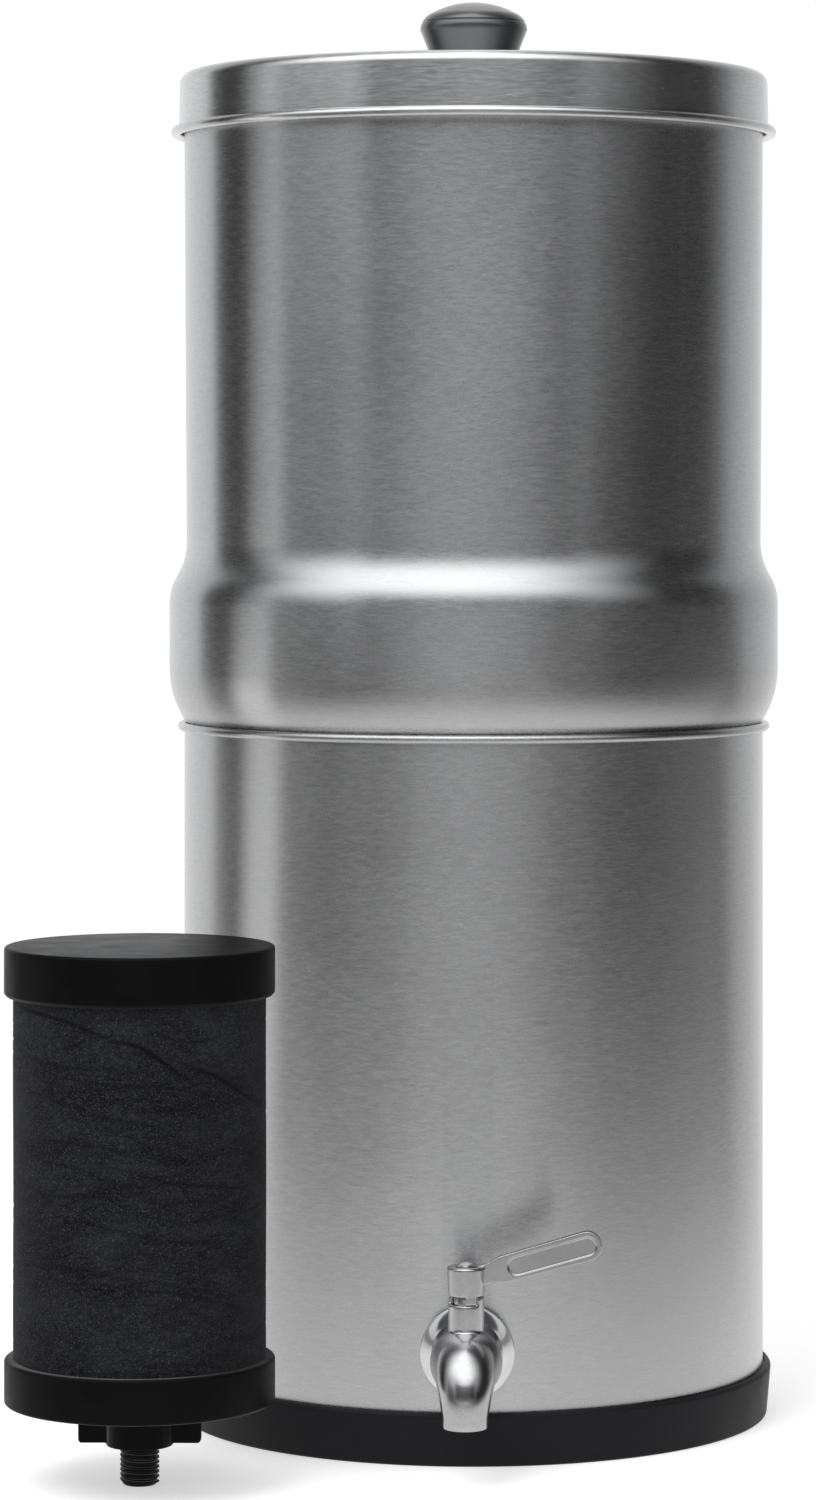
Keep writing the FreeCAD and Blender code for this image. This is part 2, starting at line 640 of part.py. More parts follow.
def tap_body():
    """The tap's casting: shank, bell, bend, spout and valve neck, with the water way bored out."""
    inside = "chamber_radius - tap_shank_reach"
    solid = fuse(
        "tap_casting",
        across_wall("tap_shank", "tap_shank_radius", f"flange_front - ({inside})", inside),
        across_wall("tap_bell", "bell_radius", "bend_start - flange_front", "flange_front"),
        tap_bend(),
        spout_tip(),
        cylinder("valve_neck", "neck_radius", "neck_top - tap_height", y="-neck_axis", z="tap_height"),
    )
    inlet = across_wall("water_inlet", "water_radius", f"spout_axis - ({inside}) + seat_gap",
                        f"{inside} - seat_gap")
    outlet = cylinder("spout_hole", "spout_bore", "tap_height - water_radius / 2 - spout_foot + seat_gap",
                      y="-spout_axis", z="spout_foot - seat_gap")
    valve_bore = cylinder("valve_bore", "spindle_radius + running_gap",
                          "neck_top + seat_gap - spindle_foot + seat_gap", y="-neck_axis",
                          z="spindle_foot - seat_gap")
    notch = cylinder("stop_notch", "neck_radius + seat_gap", "lug_height + 2 * seat_gap",
                     y="-neck_axis", z="neck_top - lug_height - seat_gap",
                     angle="-90 - lever_turn + lug_side_angle - stop_play")
    bind(notch, Angle="lever_turn + lug_angle + 2 * stop_play")
    return cut("tap_body", solid, inlet, outlet, valve_bore, notch)


def valve_spindle():
    """The turning plug: a cross port for the water, two ring grooves and a square for the lever."""
    shaft = "spindle_radius"
    top = "neck_top - spindle_foot"
    groove = "(seal_wire + seat_gap / 2)"
    screw_foot = "neck_top + square_height + seat_gap - screw_reach - spindle_foot"
    steps = [("0", "0"), (shaft, "0")]
    for seal in ("seal_low", "seal_high"):
        steps += [
            (shaft, f"{seal} - spindle_foot - {groove}"),
            ("groove_radius", f"{seal} - spindle_foot - {groove}"),
            ("groove_radius", f"{seal} - spindle_foot + {groove}"),
            (shaft, f"{seal} - spindle_foot + {groove}"),
        ]
    steps += [(shaft, top), ("screw_radius", top), ("screw_radius", screw_foot), ("0", screw_foot)]
    plug = place(turned("spindle_plug", steps), y="-neck_axis", z="spindle_foot")
    square = box("spindle_square", "square_width", "square_width", "square_height + seat_gap",
                 x="-square_width / 2", y="-neck_axis - square_width / 2", z="neck_top")
    screw_hole = cylinder("spindle_screw_hole", "screw_radius", "screw_reach + seat_gap",
                          y="-neck_axis", z="neck_top + square_height + seat_gap - screw_reach")
    port = cylinder("valve_port", "water_radius", "4 * spindle_radius", x="-2 * spindle_radius",
                    y="-neck_axis", z="tap_height", axis=FreeCAD.Vector(0, 1, 0), angle="90")
    return cut("valve_spindle", fuse("spindle_solid", plug, square), screw_hole, port)


def valve_seals():
    """The two ring seals in the plug's grooves, one node."""
    rings = []
    for seal in ("seal_low", "seal_high"):
        torus = bind(doc.addObject("Part::Torus", seal + "_ring"), Radius1="seal_ring_radius",
                     Radius2="seal_wire")
        rings.append(place(torus, y="-neck_axis", z=seal))
    group = doc.addObject("Part::Compound", "valve_seals")
    group.Links = rings
    group.Label = "valve_seals"
    return group


def lever_hub():
    body = turned(
        "lever_hub",
        (
            ("screw_radius", "0"),
            ("hub_foot_radius", "0"),
            ("hub_radius", "hub_height - hub_edge"),
            ("hub_radius - hub_edge", "hub_height"),
            ("screw_radius", "hub_height"),
        ),
    )
    return place(body, y="-neck_axis", z="hub_foot")


def stop_lug():
    """The lug under the hub, which the notch in the valve neck stops at both ends of the turn."""
    sector = cylinder("lug_sector", "hub_foot_radius", "lug_height + seat_gap", y="-neck_axis",
                      z="neck_top - lug_height", angle="lug_side_angle - 90")
    bind(sector, Angle="lug_angle")
    core = cylinder("lug_core", "spindle_radius + seat_gap", "2 * lug_height", y="-neck_axis",
                    z="neck_top - 1.5 * lug_height")
    return cut("stop_lug", sector, core)


def lever_blade():
    """The flat handle, a plate that stands on edge, with a long panel sunk into its front."""
    end = "lever_end_radius"
    end_centre = "lever_reach - lever_end_radius"
    body = new_body("lever_blade")
    sketch = body_sketch(
        body,
        "XZ_Plane",
        (
            ("screw_radius + square_width / 2", "-lever_root_height / 2"),
            ("lever_root_reach", "-lever_root_height / 2"),
            ("lever_shoulder_reach", "-lever_shoulder_height / 2"),
            (end_centre, f"-{end}"),
            arc(end_centre, end, end_centre, "0", 1),
            ("lever_shoulder_reach", "lever_shoulder_height / 2"),
            ("lever_root_reach", "lever_root_height / 2"),
            ("screw_radius + square_width / 2", "lever_root_height / 2"),
        ),
    )
    pad = body.newObject("PartDesign::Pad", "blade_pad")
    pad.Profile = sketch
    pad.Midplane = True
    bind(pad, Length="lever_thickness")
    half = "(lever_shoulder_height / 2 - lever_panel_rim)"
    start_centre = f"lever_panel_start + {half}"
    panel = body.newObject("Sketcher::SketchObject", "blade_panel")
    plane = [item for item in body.Origin.OriginFeatures if item.Role == "XZ_Plane"][0]
    panel.AttachmentSupport = [(plane, "")]
    panel.MapMode = "FlatFace"
    panel.setExpression("AttachmentOffset.Base.z", formula("lever_thickness / 2 - lever_panel_depth"))
    outline(
        panel,
        (
            (start_centre, f"-{half}"),
            (end_centre, f"-{half}"),
            arc(end_centre, half, end_centre, "0", 1),
            (start_centre, half),
            arc(start_centre, f"-{half}", start_centre, "0", 1),
        ),
        False,
    )
    pocket = body.newObject("PartDesign::Pocket", "blade_panel_pocket")
    pocket.Profile = panel
    pocket.Reversed = True
    bind(pocket, Length="lever_thickness")
    body.Tip = pocket
    return place(body, y="-neck_axis", z="hub_foot + lever_centre", axis=FreeCAD.Vector(0, -1, 0),
                 angle="lever_slope_angle")


def lever():
    solid = fuse("lever_solid", lever_hub(), lever_blade(), stop_lug())
    socket = box("lever_socket", "square_width", "square_width", "square_height + seat_gap",
                 x="-square_width / 2", y="-neck_axis - square_width / 2", z="neck_top")
    return cut("tap_lever", solid, socket)


def lever_screw():
    """The domed screw that holds the lever on the plug."""
    head = "hub_foot + hub_height"
    foot = "neck_top + square_height + seat_gap - screw_reach"
    reach = f"{head} - ({foot})"
    dome = "((screw_head_radius * screw_head_radius + screw_head_height * screw_head_height)" \
           " / (2 * screw_head_height))"
    body = turned(
        "lever_screw",
        (
            ("0", "0"),
            ("screw_radius", "0"),
            ("screw_radius", reach),
            ("screw_head_radius", reach),
            arc("0", f"{reach} + screw_head_height", "0", f"{reach} + screw_head_height - {dome}", 1),
        ),
    )
    return place(body, y="-neck_axis", z=foot)


def foot_cap(name, **where):
    """The bottom cap of a cartridge, one moulding with its collar and its threaded stem."""
    wall = "block_radius"
    body = turned(
        name + "_foot_cap",
        (
            ("stem_bore", "0"),
            ("stem_radius - stem_chamfer", "0"),
            ("stem_radius", "stem_chamfer"),
            ("stem_radius", "collar_foot"),
            ("collar_radius", "collar_foot"),
            ("collar_radius", "foot_cap_foot"),
            ("cap_radius - cap_edge", "foot_cap_foot"),
            arc("cap_radius", "foot_cap_foot + cap_edge", "cap_radius - cap_edge",
                "foot_cap_foot + cap_edge", 1),
            ("cap_radius", "foot_cap_top - cap_edge"),
            arc("cap_radius - cap_edge", "foot_cap_top", "cap_radius - cap_edge",
                "foot_cap_top - cap_edge", 1),
            (wall, "foot_cap_top"),
            (wall, "block_foot"),
            ("stem_bore", "block_foot"),
        ),
    )
    return place(body, **where)


def top_cap(name, **where):
    """The closed cap on top of a cartridge."""
    wall = "block_radius"
    body = turned(
        name + "_top_cap",
        (
            (wall, "top_cap_foot"),
            ("cap_radius - cap_edge", "top_cap_foot"),
            ("cap_radius", "top_cap_foot + cap_edge"),
            ("cap_radius", "top_cap_top - cap_edge"),
            arc("cap_radius - cap_edge", "top_cap_top", "cap_radius - cap_edge",
                "top_cap_top - cap_edge", 1),
            ("0", "top_cap_top"),
            ("0", "block_top"),
            (wall, "block_top"),
        ),
    )
    return place(body, **where)


def tube(name, inner, outer, **where):
    """A tube that stands between the two caps of a cartridge."""
    body = turned(name, ((inner, "block_foot"), (outer, "block_foot"), (outer, "block_top"),
                         (inner, "block_top")))
    return place(body, **where)


def wing_nut(name, **where):
    """A moulded nut with two flat wings. Its foot is its own origin."""
    hub = cylinder(name + "_hub", "wing_hub_radius", "wing_hub_height")
    bar = box(name + "_bar", "wing_span", "wing_thickness", "wing_height", x="-wing_span / 2",
              y="-wing_thickness / 2", z="(wing_hub_height - wing_height) / 2")
    wings = doc.addObject("Part::Fillet", name + "_wings")
    wings.Base = bar
    doc.recompute()
    ends = [
        number
        for number, edge in enumerate(bar.Shape.Edges, start=1)
        if abs(abs(edge.CenterOfMass.x) - bar.Length.Value / 2) < bar.Width.Value / 100
    ]
    wings.Edges = [(number, value("wing_edge"), value("wing_edge")) for number in ends]
    solid = fuse(name + "_solid", hub, wings)
    bore = cylinder(name + "_bore", "stem_radius + running_gap", "2 * wing_hub_height",
                    z="-wing_hub_height / 2")
    return place(cut(name, solid, bore), **where)


def cartridge(name, **where):
    """One filter cartridge: caps, carbon block, fleece wrap, rubber washer and wing nut."""
    foot_cap(name, **where)
    tube(name + "_carbon_block", "block_core", "block_radius - block_wrap", **where)
    tube(name + "_fleece_wrap", "block_radius - block_wrap", "block_radius", **where)
    top_cap(name, **where)
    foot = where.get("z", "0")
    washer = ring(name + "_washer", "stem_radius", "seal_radius", "seal_thickness")
    place(washer, x=where["x"], y=where.get("y", "0"), z=f"{foot} + seal_foot")


def hole_plug():
    """The rubber plug that shuts the cartridge hole that isn't in use."""
    stem = "plug_stem_height + steel_sheet"
    body = turned(
        "hole_plug",
        (
            ("0", "0"),
            ("stem_radius - plug_taper", "0"),
            ("stem_radius", "plug_stem_height"),
            ("stem_radius", f"{stem} + seat_gap"),
            ("plug_head_radius", f"{stem} + seat_gap"),
            ("plug_head_radius", f"{stem} + plug_head_height - plug_edge"),
            ("plug_head_radius - plug_edge", f"{stem} + plug_head_height"),
            ("0", f"{stem} + plug_head_height"),
        ),
    )
    return place(body, x="cartridge_offset", z="upper_floor - plug_stem_height")


sizes = fill_sheet()
fill_places()

base_boot()
lower_chamber()
upper_chamber()
lid()
lid_knob()
knob_screw()
knob_washer()
tap_gaskets()
tap_flange()
tap_washer()
tap_nut()
tap_body()
valve_spindle()
valve_seals()
lever()
lever_screw()
hole_plug()

cartridge("fitted", x="-cartridge_offset", z="fitted_height")
wing_nut("fitted_wing_nut", x="-cartridge_offset", z="upper_floor - seat_gap - wing_hub_height")
cartridge("spare", x="-spare_left", y="-spare_front")
wing_nut("spare_wing_nut", x="-spare_left", y="-spare_front", z="seal_foot - seat_gap - wing_hub_height")

CARTRIDGE_PIECES = ("foot_cap", "carbon_block", "fleece_wrap", "top_cap", "washer", "wing_nut")
NODES = [
    "base_boot", "lower_chamber", "upper_chamber", "lid", "lid_knob", "knob_screw", "knob_washer",
    "tap_outer_gasket", "tap_inner_gasket", "tap_flange", "tap_washer", "tap_lock_nut", "tap_body",
    "valve_spindle", "valve_seals", "tap_lever", "lever_screw", "hole_plug",
] + [f"{name}_{piece}" for name in ("fitted", "spare") for piece in CARTRIDGE_PIECES]


def write_parts():
    """Checks the whole document, then writes one file for each piece."""
    doc.recompute()
    for item in doc.Objects:
        if "Invalid" in item.State or "Error" in item.State:
            raise RuntimeError(f"{item.Label} could not be built: {item.State}")
    by_label = {item.Label: item for item in doc.Objects}
    for node in NODES:
        shape = by_label[node].Shape
        if shape.isNull() or not shape.isValid():
            raise RuntimeError(f"{node} has no valid shape")
    os.makedirs("parts", exist_ok=True)
    for node in NODES:
        by_label[node].Shape.exportStep(f"parts/{node}.step")
        shape = by_label[node].Shape
        print(f"{node}: {len(shape.Solids)} solid(s), {shape.Volume:.0f} cubic millimetres")


write_parts()
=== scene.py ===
import json
import math
import random
from contextlib import contextmanager
from functools import wraps

import bmesh
import bpy
import numpy
from bpy.props import FloatProperty, FloatVectorProperty, IntProperty, PointerProperty
from bpy.types import Operator, Panel, PropertyGroup
from mathutils import Matrix, Vector


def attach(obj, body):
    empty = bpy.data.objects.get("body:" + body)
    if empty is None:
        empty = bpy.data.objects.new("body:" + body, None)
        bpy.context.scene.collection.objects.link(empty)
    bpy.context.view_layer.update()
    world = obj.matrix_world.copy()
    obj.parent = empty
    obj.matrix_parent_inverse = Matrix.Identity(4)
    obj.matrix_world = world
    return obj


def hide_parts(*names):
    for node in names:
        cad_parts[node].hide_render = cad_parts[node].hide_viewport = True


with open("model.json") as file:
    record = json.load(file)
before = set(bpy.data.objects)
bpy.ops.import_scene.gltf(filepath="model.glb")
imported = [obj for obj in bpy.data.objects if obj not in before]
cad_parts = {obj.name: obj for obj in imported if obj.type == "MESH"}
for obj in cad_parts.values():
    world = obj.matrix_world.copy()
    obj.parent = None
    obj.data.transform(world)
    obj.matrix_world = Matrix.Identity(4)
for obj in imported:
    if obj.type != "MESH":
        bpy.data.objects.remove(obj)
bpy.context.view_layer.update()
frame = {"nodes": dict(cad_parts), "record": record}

bl_info = {
    "name": "Gravity Water Filter",
    "version": (1, 0, 0),
    "blender": (4, 5, 0),
    "location": "3D View > Sidebar > Filter",
    "description": "Dresses a stacked steel water filter, its tap and its two cartridges",
    "category": "Object",
}

BODY_OF = {
    node: body
    for body, members in frame["record"]["behaviour"]["bodies"].items()
    for node in members
}

# Sizes and places are in millimetres, and MM turns them into metres. The settings and the stage
# are in metres.
MM = 0.001
CHAMBER_FOOT = 3
FLOOR_BEND = 5
LOWER_WALL = 111.15
LOWER_RIM = 263.3
RIM_CURL = 0.85
BOOT_LEDGE = 18.8
BOOT_TOP = 19.5
UPPER_FLOOR = 248.498
NEST_WALL = 109.75
NEST_TOP = 263.498
BULGE = 116.9
BULGE_FOOT = 285.361
BULGE_TOP = 310.361
WAIST = 110.3
WAIST_HEIGHT = 333.54
UPPER_WALL = 111.3
UPPER_RIM = 510.74
LID_TOP = 513.34
LID_CURL = 490.94
KNOB_HOLE = 2.8
KNOB_SCREW_FOOT = 508.74
KNOB_WASHER_FOOT = 511.34
TAP_HEIGHT = 41.7
TAP_HOLE = 8.2
NECK_AXIS = -133.95
LEVER_TOP = 64.0
FLANGE_FOOT = 113.65
WASHER_FOOT = 106.25
CARTRIDGE_OFFSET = 52.0
CARTRIDGE_HOLE = 7.4
PLUG_SEAT = 9
CAP_RADIUS = 48.15
BLOCK_RADIUS = 45.0
WRAP_INNER = 44.2
BLOCK_FOOT = 33.0
BLOCK_TOP = 188.2
FOOT_CAP_TOP = 45.6
TOP_CAP_FOOT = 174.1
STEM_THREAD_RADIUS = 6.55
STEM_THREAD_HEIGHT = 21.2
STEM_THREAD_FOOT = 1.2
STEM_THREAD_DEPTH = 0.5
GASKET_EDGE = 0.3
NUT_EDGE = 0.5
SPINDLE_EDGE = 0.2
WING_NUT_VOXEL = 0.35
FITTED = Vector((-CARTRIDGE_OFFSET, 0.0, 225.098))
SPARE = Vector((-116.0, -143.5, 0.0))

# The camera, fitted to the rims and the base of the filter; metres and degrees
CAMERA_DISTANCE = 1.858
CAMERA_HEIGHT = 0.3549
CAMERA_TURN = 1.15
CAMERA_LENS = 115.75
CAMERA_SENSOR = 36.0
CAMERA_SHIFT = (-0.0438, -0.1755)
LAMP_PLACE = (-0.9, -1.3, 2.1)
LAMP_AIM = (0, 0, 0.2)
LAMP_WIDTH = 1.6


# -------- settings

COLOUR = dict(size=3, min=0.0, max=1.0, subtype="COLOR")
LENGTH = dict(unit="LENGTH", subtype="DISTANCE")
FACTOR = dict(min=0.0, max=1.0, subtype="FACTOR")


class SteelSettings(PropertyGroup):
    """The brushed sheet steel of the chambers and the lid."""

    sheet: FloatProperty(
        name="Sheet", description="Thickness of the sheet steel", default=0.0008, min=0.0003,
        precision=4, **LENGTH)
    colour: FloatVectorProperty(
        name="Colour", description="Colour of the bare steel",
        default=(0.60, 0.60, 0.605), **COLOUR)
    lid_colour: FloatVectorProperty(
        name="Lid colour", description="Colour of the lid's steel",
        default=(0.74, 0.74, 0.74), **COLOUR)
    roughness: FloatProperty(
        name="Roughness", description="Roughness across the brushing", default=0.27, **FACTOR)
    grain: FloatProperty(
        name="Grain", description="How much the brushing changes the tone", default=0.17, **FACTOR)


class TapSettings(PropertyGroup):
    """The tap's castings and its bright flange."""

    colour: FloatVectorProperty(
        name="Casting", description="Colour of the satin castings",
        default=(0.55, 0.545, 0.55), **COLOUR)
    bright: FloatVectorProperty(
        name="Flange", description="Colour of the polished flange",
        default=(0.80, 0.80, 0.81), **COLOUR)
    body_voxel: FloatProperty(
        name="Body detail", description="Finest detail kept on the tap's body", default=0.0004,
        min=0.0002, precision=5, **LENGTH)
    lever_voxel: FloatProperty(
        name="Lever detail", description="Finest detail kept on the lever", default=0.00025,
        min=0.0002, precision=5, **LENGTH)


class PlasticSettings(PropertyGroup):
    """Rubber, moulded plastic and the cartridges' fleece."""

    rubber: FloatVectorProperty(
        name="Rubber", description="Colour of the base and the gaskets",
        default=(0.012, 0.012, 0.0145), **COLOUR)
    knob: FloatVectorProperty(
        name="Knob", description="Colour of the lid's knob",
        default=(0.030, 0.031, 0.036), **COLOUR)
    cap: FloatVectorProperty(
        name="Caps", description="Colour of the cartridges' mouldings",
        default=(0.004, 0.004, 0.004), **COLOUR)
    fleece: FloatVectorProperty(
        name="Fleece", description="Colour of the wrap round the filter blocks",
        default=(0.0125, 0.013, 0.0155), **COLOUR)
    crease: FloatProperty(
        name="Creases", description="Depth of the wrap's deepest creases", default=0.0005,
        min=0.0, max=0.0008, precision=5, **LENGTH)
    thread_pitch: FloatProperty(
        name="Thread pitch", description="Pitch of the stems' thread", default=0.0017, min=0.001,
        precision=5, **LENGTH)


class ShapeSettings(PropertyGroup):
    """How finely the turned pieces are made."""

    segments: IntProperty(
        name="Segments", description="Faces round a large turned piece", default=256, min=32,
        max=512)
    small_segments: IntProperty(
        name="Small segments", description="Faces round a small turned piece", default=96, min=16,
        max=256)
    arc_step: FloatProperty(
        name="Arc step", description="Largest angle between two points of a rounding",
        default=math.radians(7.5), min=math.radians(1), subtype="ANGLE")


class StageSettings(PropertyGroup):
    """Floor and light."""

    ambient: FloatProperty(
        name="Ambient", description="Strength of the even light", default=0.62, min=0.0, max=2.0)
    key: FloatProperty(
        name="Key light", description="Power of the large soft lamp", default=26.0, min=0.0,
        subtype="POWER", unit="POWER")
    floor: FloatProperty(
        name="Floor", description="Half the floor's width", default=6.0, min=1.0, **LENGTH)
    tent: FloatProperty(
        name="Tent", description="Radius of the tent that the metal reflects", default=4.0,
        min=1.0, **LENGTH)


class FilterSettings(PropertyGroup):
    """All settings of the filter."""

    steel: PointerProperty(type=SteelSettings, name="Steel", description="Sheet steel")
    tap: PointerProperty(type=TapSettings, name="Tap", description="Tap")
    plastic: PointerProperty(
        type=PlasticSettings, name="Plastic", description="Rubber, plastic, fleece")
    shape: PointerProperty(type=ShapeSettings, name="Shape", description="Fineness")
    stage: PointerProperty(type=StageSettings, name="Stage", description="Floor and light")


def settings():
    return bpy.context.scene.gravity_filter


# -------- profiles

def arc(centre_r, centre_z, radius, start, stop):
    """Points of an arc from one angle to another, in degrees."""
    step = math.degrees(settings().shape.arc_step)
    count = max(3, math.ceil(abs(stop - start) / step))
    points = []
    for number in range(count + 1):
        angle = math.radians(start + (stop - start) * number / count)
        points.append((centre_r + radius * math.cos(angle), centre_z + radius * math.sin(angle)))
    return points


def fillet(before, corner, after, radius):
    """Points of the rounding of one corner."""
    corner = Vector(corner)
    first = (Vector(before) - corner).normalized()
    second = (Vector(after) - corner).normalized()
    half = first.angle(second) / 2
    if radius <= 0 or half > math.radians(89):
        return [tuple(corner)]
    centre = corner + (first + second).normalized() * (radius / math.sin(half))
    reach = radius / math.tan(half)
    start = corner + first * reach - centre
    stop = corner + second * reach - centre
    low = math.degrees(math.atan2(start.y, start.x))
    high = math.degrees(math.atan2(stop.y, stop.x))
    turn = (high - low + 180) % 360 - 180
    return arc(centre.x, centre.y, radius, low, low + turn)


def rounded(*corners):
    """A section through corners (r, z) or (r, z, rounding), closed unless it starts at r 0."""
    spots = [corner[:2] for corner in corners]
    last = len(corners) - 1
    closed = spots[0][0] > 0
    points = []
    for number, corner in enumerate(corners):
        at_end = number in (0, last) and not closed
        if len(corner) == 2 or at_end:
            points.append(spots[number])
        else:
            after = spots[(number + 1) % len(spots)]
            points += fillet(spots[number - 1], spots[number], after, corner[2])
    return points


def neat(points):
    """The points without repeats."""
    kept = [points[0]]
    for point in points[1:]:
        if math.dist(point, kept[-1]) > 1e-4:
            kept.append(point)
    return kept


def sheet_section(outer, side=1):
    """The closed section of a sheet whose outer face is given; side 1 is to the left of it."""
    outer = neat(outer)
    thickness = settings().steel.sheet / MM
    inner = []
    for number, point in enumerate(outer):
        here = Vector(point)
        legs = []
        if number:
            legs.append((here - Vector(outer[number - 1])).normalized())
        if number < len(outer) - 1:
            legs.append((Vector(outer[number + 1]) - here).normalized())
        normals = [Vector((-leg.y, leg.x)) * side for leg in legs]
        normal = (normals[0] + normals[-1]).normalized()
        reach = thickness / max(0.5, normal.dot(normals[0]))
        inner.append(tuple(here + normal * reach))
    return outer + [(max(0.0, r), z) for r, z in reversed(inner)]


# -------- nodes

class Wires:
    """Makes nodes in a tree and links them with few words."""

    def __init__(self, tree, prefix="ShaderNode"):
        self.tree = tree
        self.prefix = prefix

    def feed(self, source, target):
        """Links a socket to the target, or sets the target's own value."""
        if isinstance(source, bpy.types.NodeSocket):
            self.tree.links.new(source, target)
        else:
            target.default_value = source

    def feed_all(self, targets, sources):
        for name, source in sources.items():
            self.feed(source, targets[name])

    def node(self, kind, inputs=None, **choices):
        made = self.tree.nodes.new(self.prefix + kind)
        for name, choice in choices.items():
            setattr(made, name, choice)
        self.feed_all(made.inputs, inputs or {})
        return made

    def group(self, tree, **inputs):
        """The outputs of a node group."""
        made = self.node("Group", node_tree=tree)
        self.feed_all(made.inputs, inputs)
        return made.outputs

    def math(self, operation, *sources):
        made = self.node("Math", operation=operation)
        for source, target in zip(sources, made.inputs):
            self.feed(source, target)
        return made.outputs["Value"]

    def times(self, first, second):
        return self.math("MULTIPLY", first, second)

    def blend(self, first, share, second):
        """Two values added by their shares, which make 1 together."""
        return self.math("ADD", self.times(first, share), self.times(second, 1 - share))

    def stretch(self, place, scale):
        made = self.node("VectorMath", operation="MULTIPLY")
        self.feed(place, made.inputs[0])
        self.feed(scale, made.inputs[1])
        return made.outputs["Vector"]

    def length(self, place):
        return self.node("VectorMath", {"Vector": place}, operation="LENGTH").outputs["Value"]

    def axes(self, place):
        return self.node("SeparateXYZ", {"Vector": place}).outputs

    def noise(self, place, scale, detail=2.0, rough=0.5, distortion=0.0):
        made = self.node("TexNoise", {"Vector": place, "Scale": scale, "Detail": detail,
                                      "Roughness": rough, "Distortion": distortion})
        return made.outputs["Fac"]

    def span(self, source, low, high, to_low=0.0, to_high=1.0, smooth=False):
        """The source's range from low to high as another range, held at its ends."""
        made = self.node("MapRange", {"Value": source, "From Min": low, "From Max": high,
                                      "To Min": to_low, "To Max": to_high})
        made.interpolation_type = "SMOOTHSTEP" if smooth else "LINEAR"
        return made.outputs["Result"]

    def mix(self, factor, first, second):
        """Two colours mixed. The node's sockets for colours come after those for other kinds."""
        made = self.node("Mix", data_type="RGBA")
        for source, target in zip((factor, first, second), (0, 6, 7)):
            self.feed(source, made.inputs[target])
        return made.outputs[2]

    def mix_shaders(self, factor, first, second):
        made = self.node("MixShader", {"Fac": factor})
        self.feed(first, made.inputs[1])
        self.feed(second, made.inputs[2])
        return made.outputs["Shader"]

    def bump(self, height, strength, distance):
        made = self.node("Bump", {"Height": height, "Strength": strength, "Distance": distance})
        return made.outputs["Normal"]

    def ramp(self, factor, stops):
        made = self.node("ValToRGB", {"Fac": factor})
        elements = made.color_ramp.elements
        while len(elements) < len(stops):
            elements.new(0.5)
        for element, (position, tone) in zip(elements, stops):
            element.position = position
            element.color = (tone, tone, tone, 1)
        return made.outputs["Color"]


def node_group(name, kind, inputs, outputs):
    """Turns a function that wires a node group into one that gives the group, made at first use.

    The function gets the wires and the group's own inputs, and returns its outputs in order."""
    def wrap(fill):
        @wraps(fill)
        def group():
            if name in bpy.data.node_groups:
                return bpy.data.node_groups[name]
            tree = bpy.data.node_groups.new(name, kind + "NodeTree")
            for side, sockets in (("INPUT", inputs), ("OUTPUT", outputs)):
                for label, sort, *default in sockets:
                    made = tree.interface.new_socket(
                        label, in_out=side, socket_type="NodeSocket" + sort)
                    if default:
                        made.default_value = default[0]
            wires = Wires(tree, kind + "Node")
            start, end = tree.nodes.new("NodeGroupInput"), tree.nodes.new("NodeGroupOutput")
            for source, target in zip(fill(wires, start.outputs), end.inputs):
                wires.feed(source, target)
            return tree
        return group
    return wrap


# -------- meshes

# The lathe turns a section round a thin pin, so the section starts at the pin's radius, in metres.
PIN = 0.001
THREAD_POINTS = 40
THREAD_SIDES = 6


@node_group("Lathe", "Geometry",
            (("Section", "Geometry"), ("Segments", "Int"), ("Pin", "Float"),
             ("Finish", "Material")), (("Piece", "Geometry"),))
def lathe(wires, given):
    """Turns a section round the upright axis."""
    circle = wires.node("CurvePrimitiveCircle",
                        {"Resolution": given["Segments"], "Radius": given["Pin"]})
    sweep = wires.node("CurveToMesh", {"Curve": circle.outputs["Curve"],
                                       "Profile Curve": given["Section"]})
    merge = wires.node("MergeByDistance", {"Geometry": sweep.outputs["Mesh"], "Distance": 1e-6})
    return (in_finish(wires, merge.outputs["Geometry"], given["Finish"]),)


@node_group("Thread", "Geometry",
            (("Section", "Geometry"), ("Radius", "Float"), ("Turns", "Float"),
             ("Height", "Float"), ("Depth", "Float"), ("Finish", "Material")),
            (("Piece", "Geometry"),))
def thread(wires, given):
    """Winds the ridge of a screw thread up the upright axis."""
    spiral = wires.node("CurveSpiral", {
        "Resolution": THREAD_POINTS, "Rotations": given["Turns"], "Start Radius": given["Radius"],
        "End Radius": given["Radius"], "Height": given["Height"]})
    ridge = wires.node("CurvePrimitiveCircle",
                       {"Resolution": THREAD_SIDES, "Radius": given["Depth"]})
    sweep = wires.node("CurveToMesh", {"Curve": spiral.outputs["Curve"], "Fill Caps": True,
                                       "Profile Curve": ridge.outputs["Curve"]})
    return (in_finish(wires, sweep.outputs["Mesh"], given["Finish"]),)


def in_finish(wires, geometry, finish):
    """The geometry made real, in its material."""
    real = wires.node("RealizeInstances", {"Geometry": geometry})
    made = wires.node("SetMaterial", {"Geometry": real.outputs["Geometry"], "Material": finish})
    return made.outputs["Geometry"]


def linked(name, data):
    """A new object in the scene."""
    thing = bpy.data.objects.new(name, data)
    bpy.context.scene.collection.objects.link(thing)
    return thing


@contextmanager
def editing(mesh):
    """A bmesh of the mesh, written back at the end."""
    work = bmesh.new()
    work.from_mesh(mesh)
    yield work
    work.to_mesh(mesh)
    work.free()


def evaluated_mesh(holder):
    """The plain mesh that an object's modifiers make. The object is removed."""
    depsgraph = bpy.context.evaluated_depsgraph_get()
    mesh = bpy.data.meshes.new_from_object(holder.evaluated_get(depsgraph), depsgraph=depsgraph)
    bpy.data.objects.remove(holder)
    return mesh


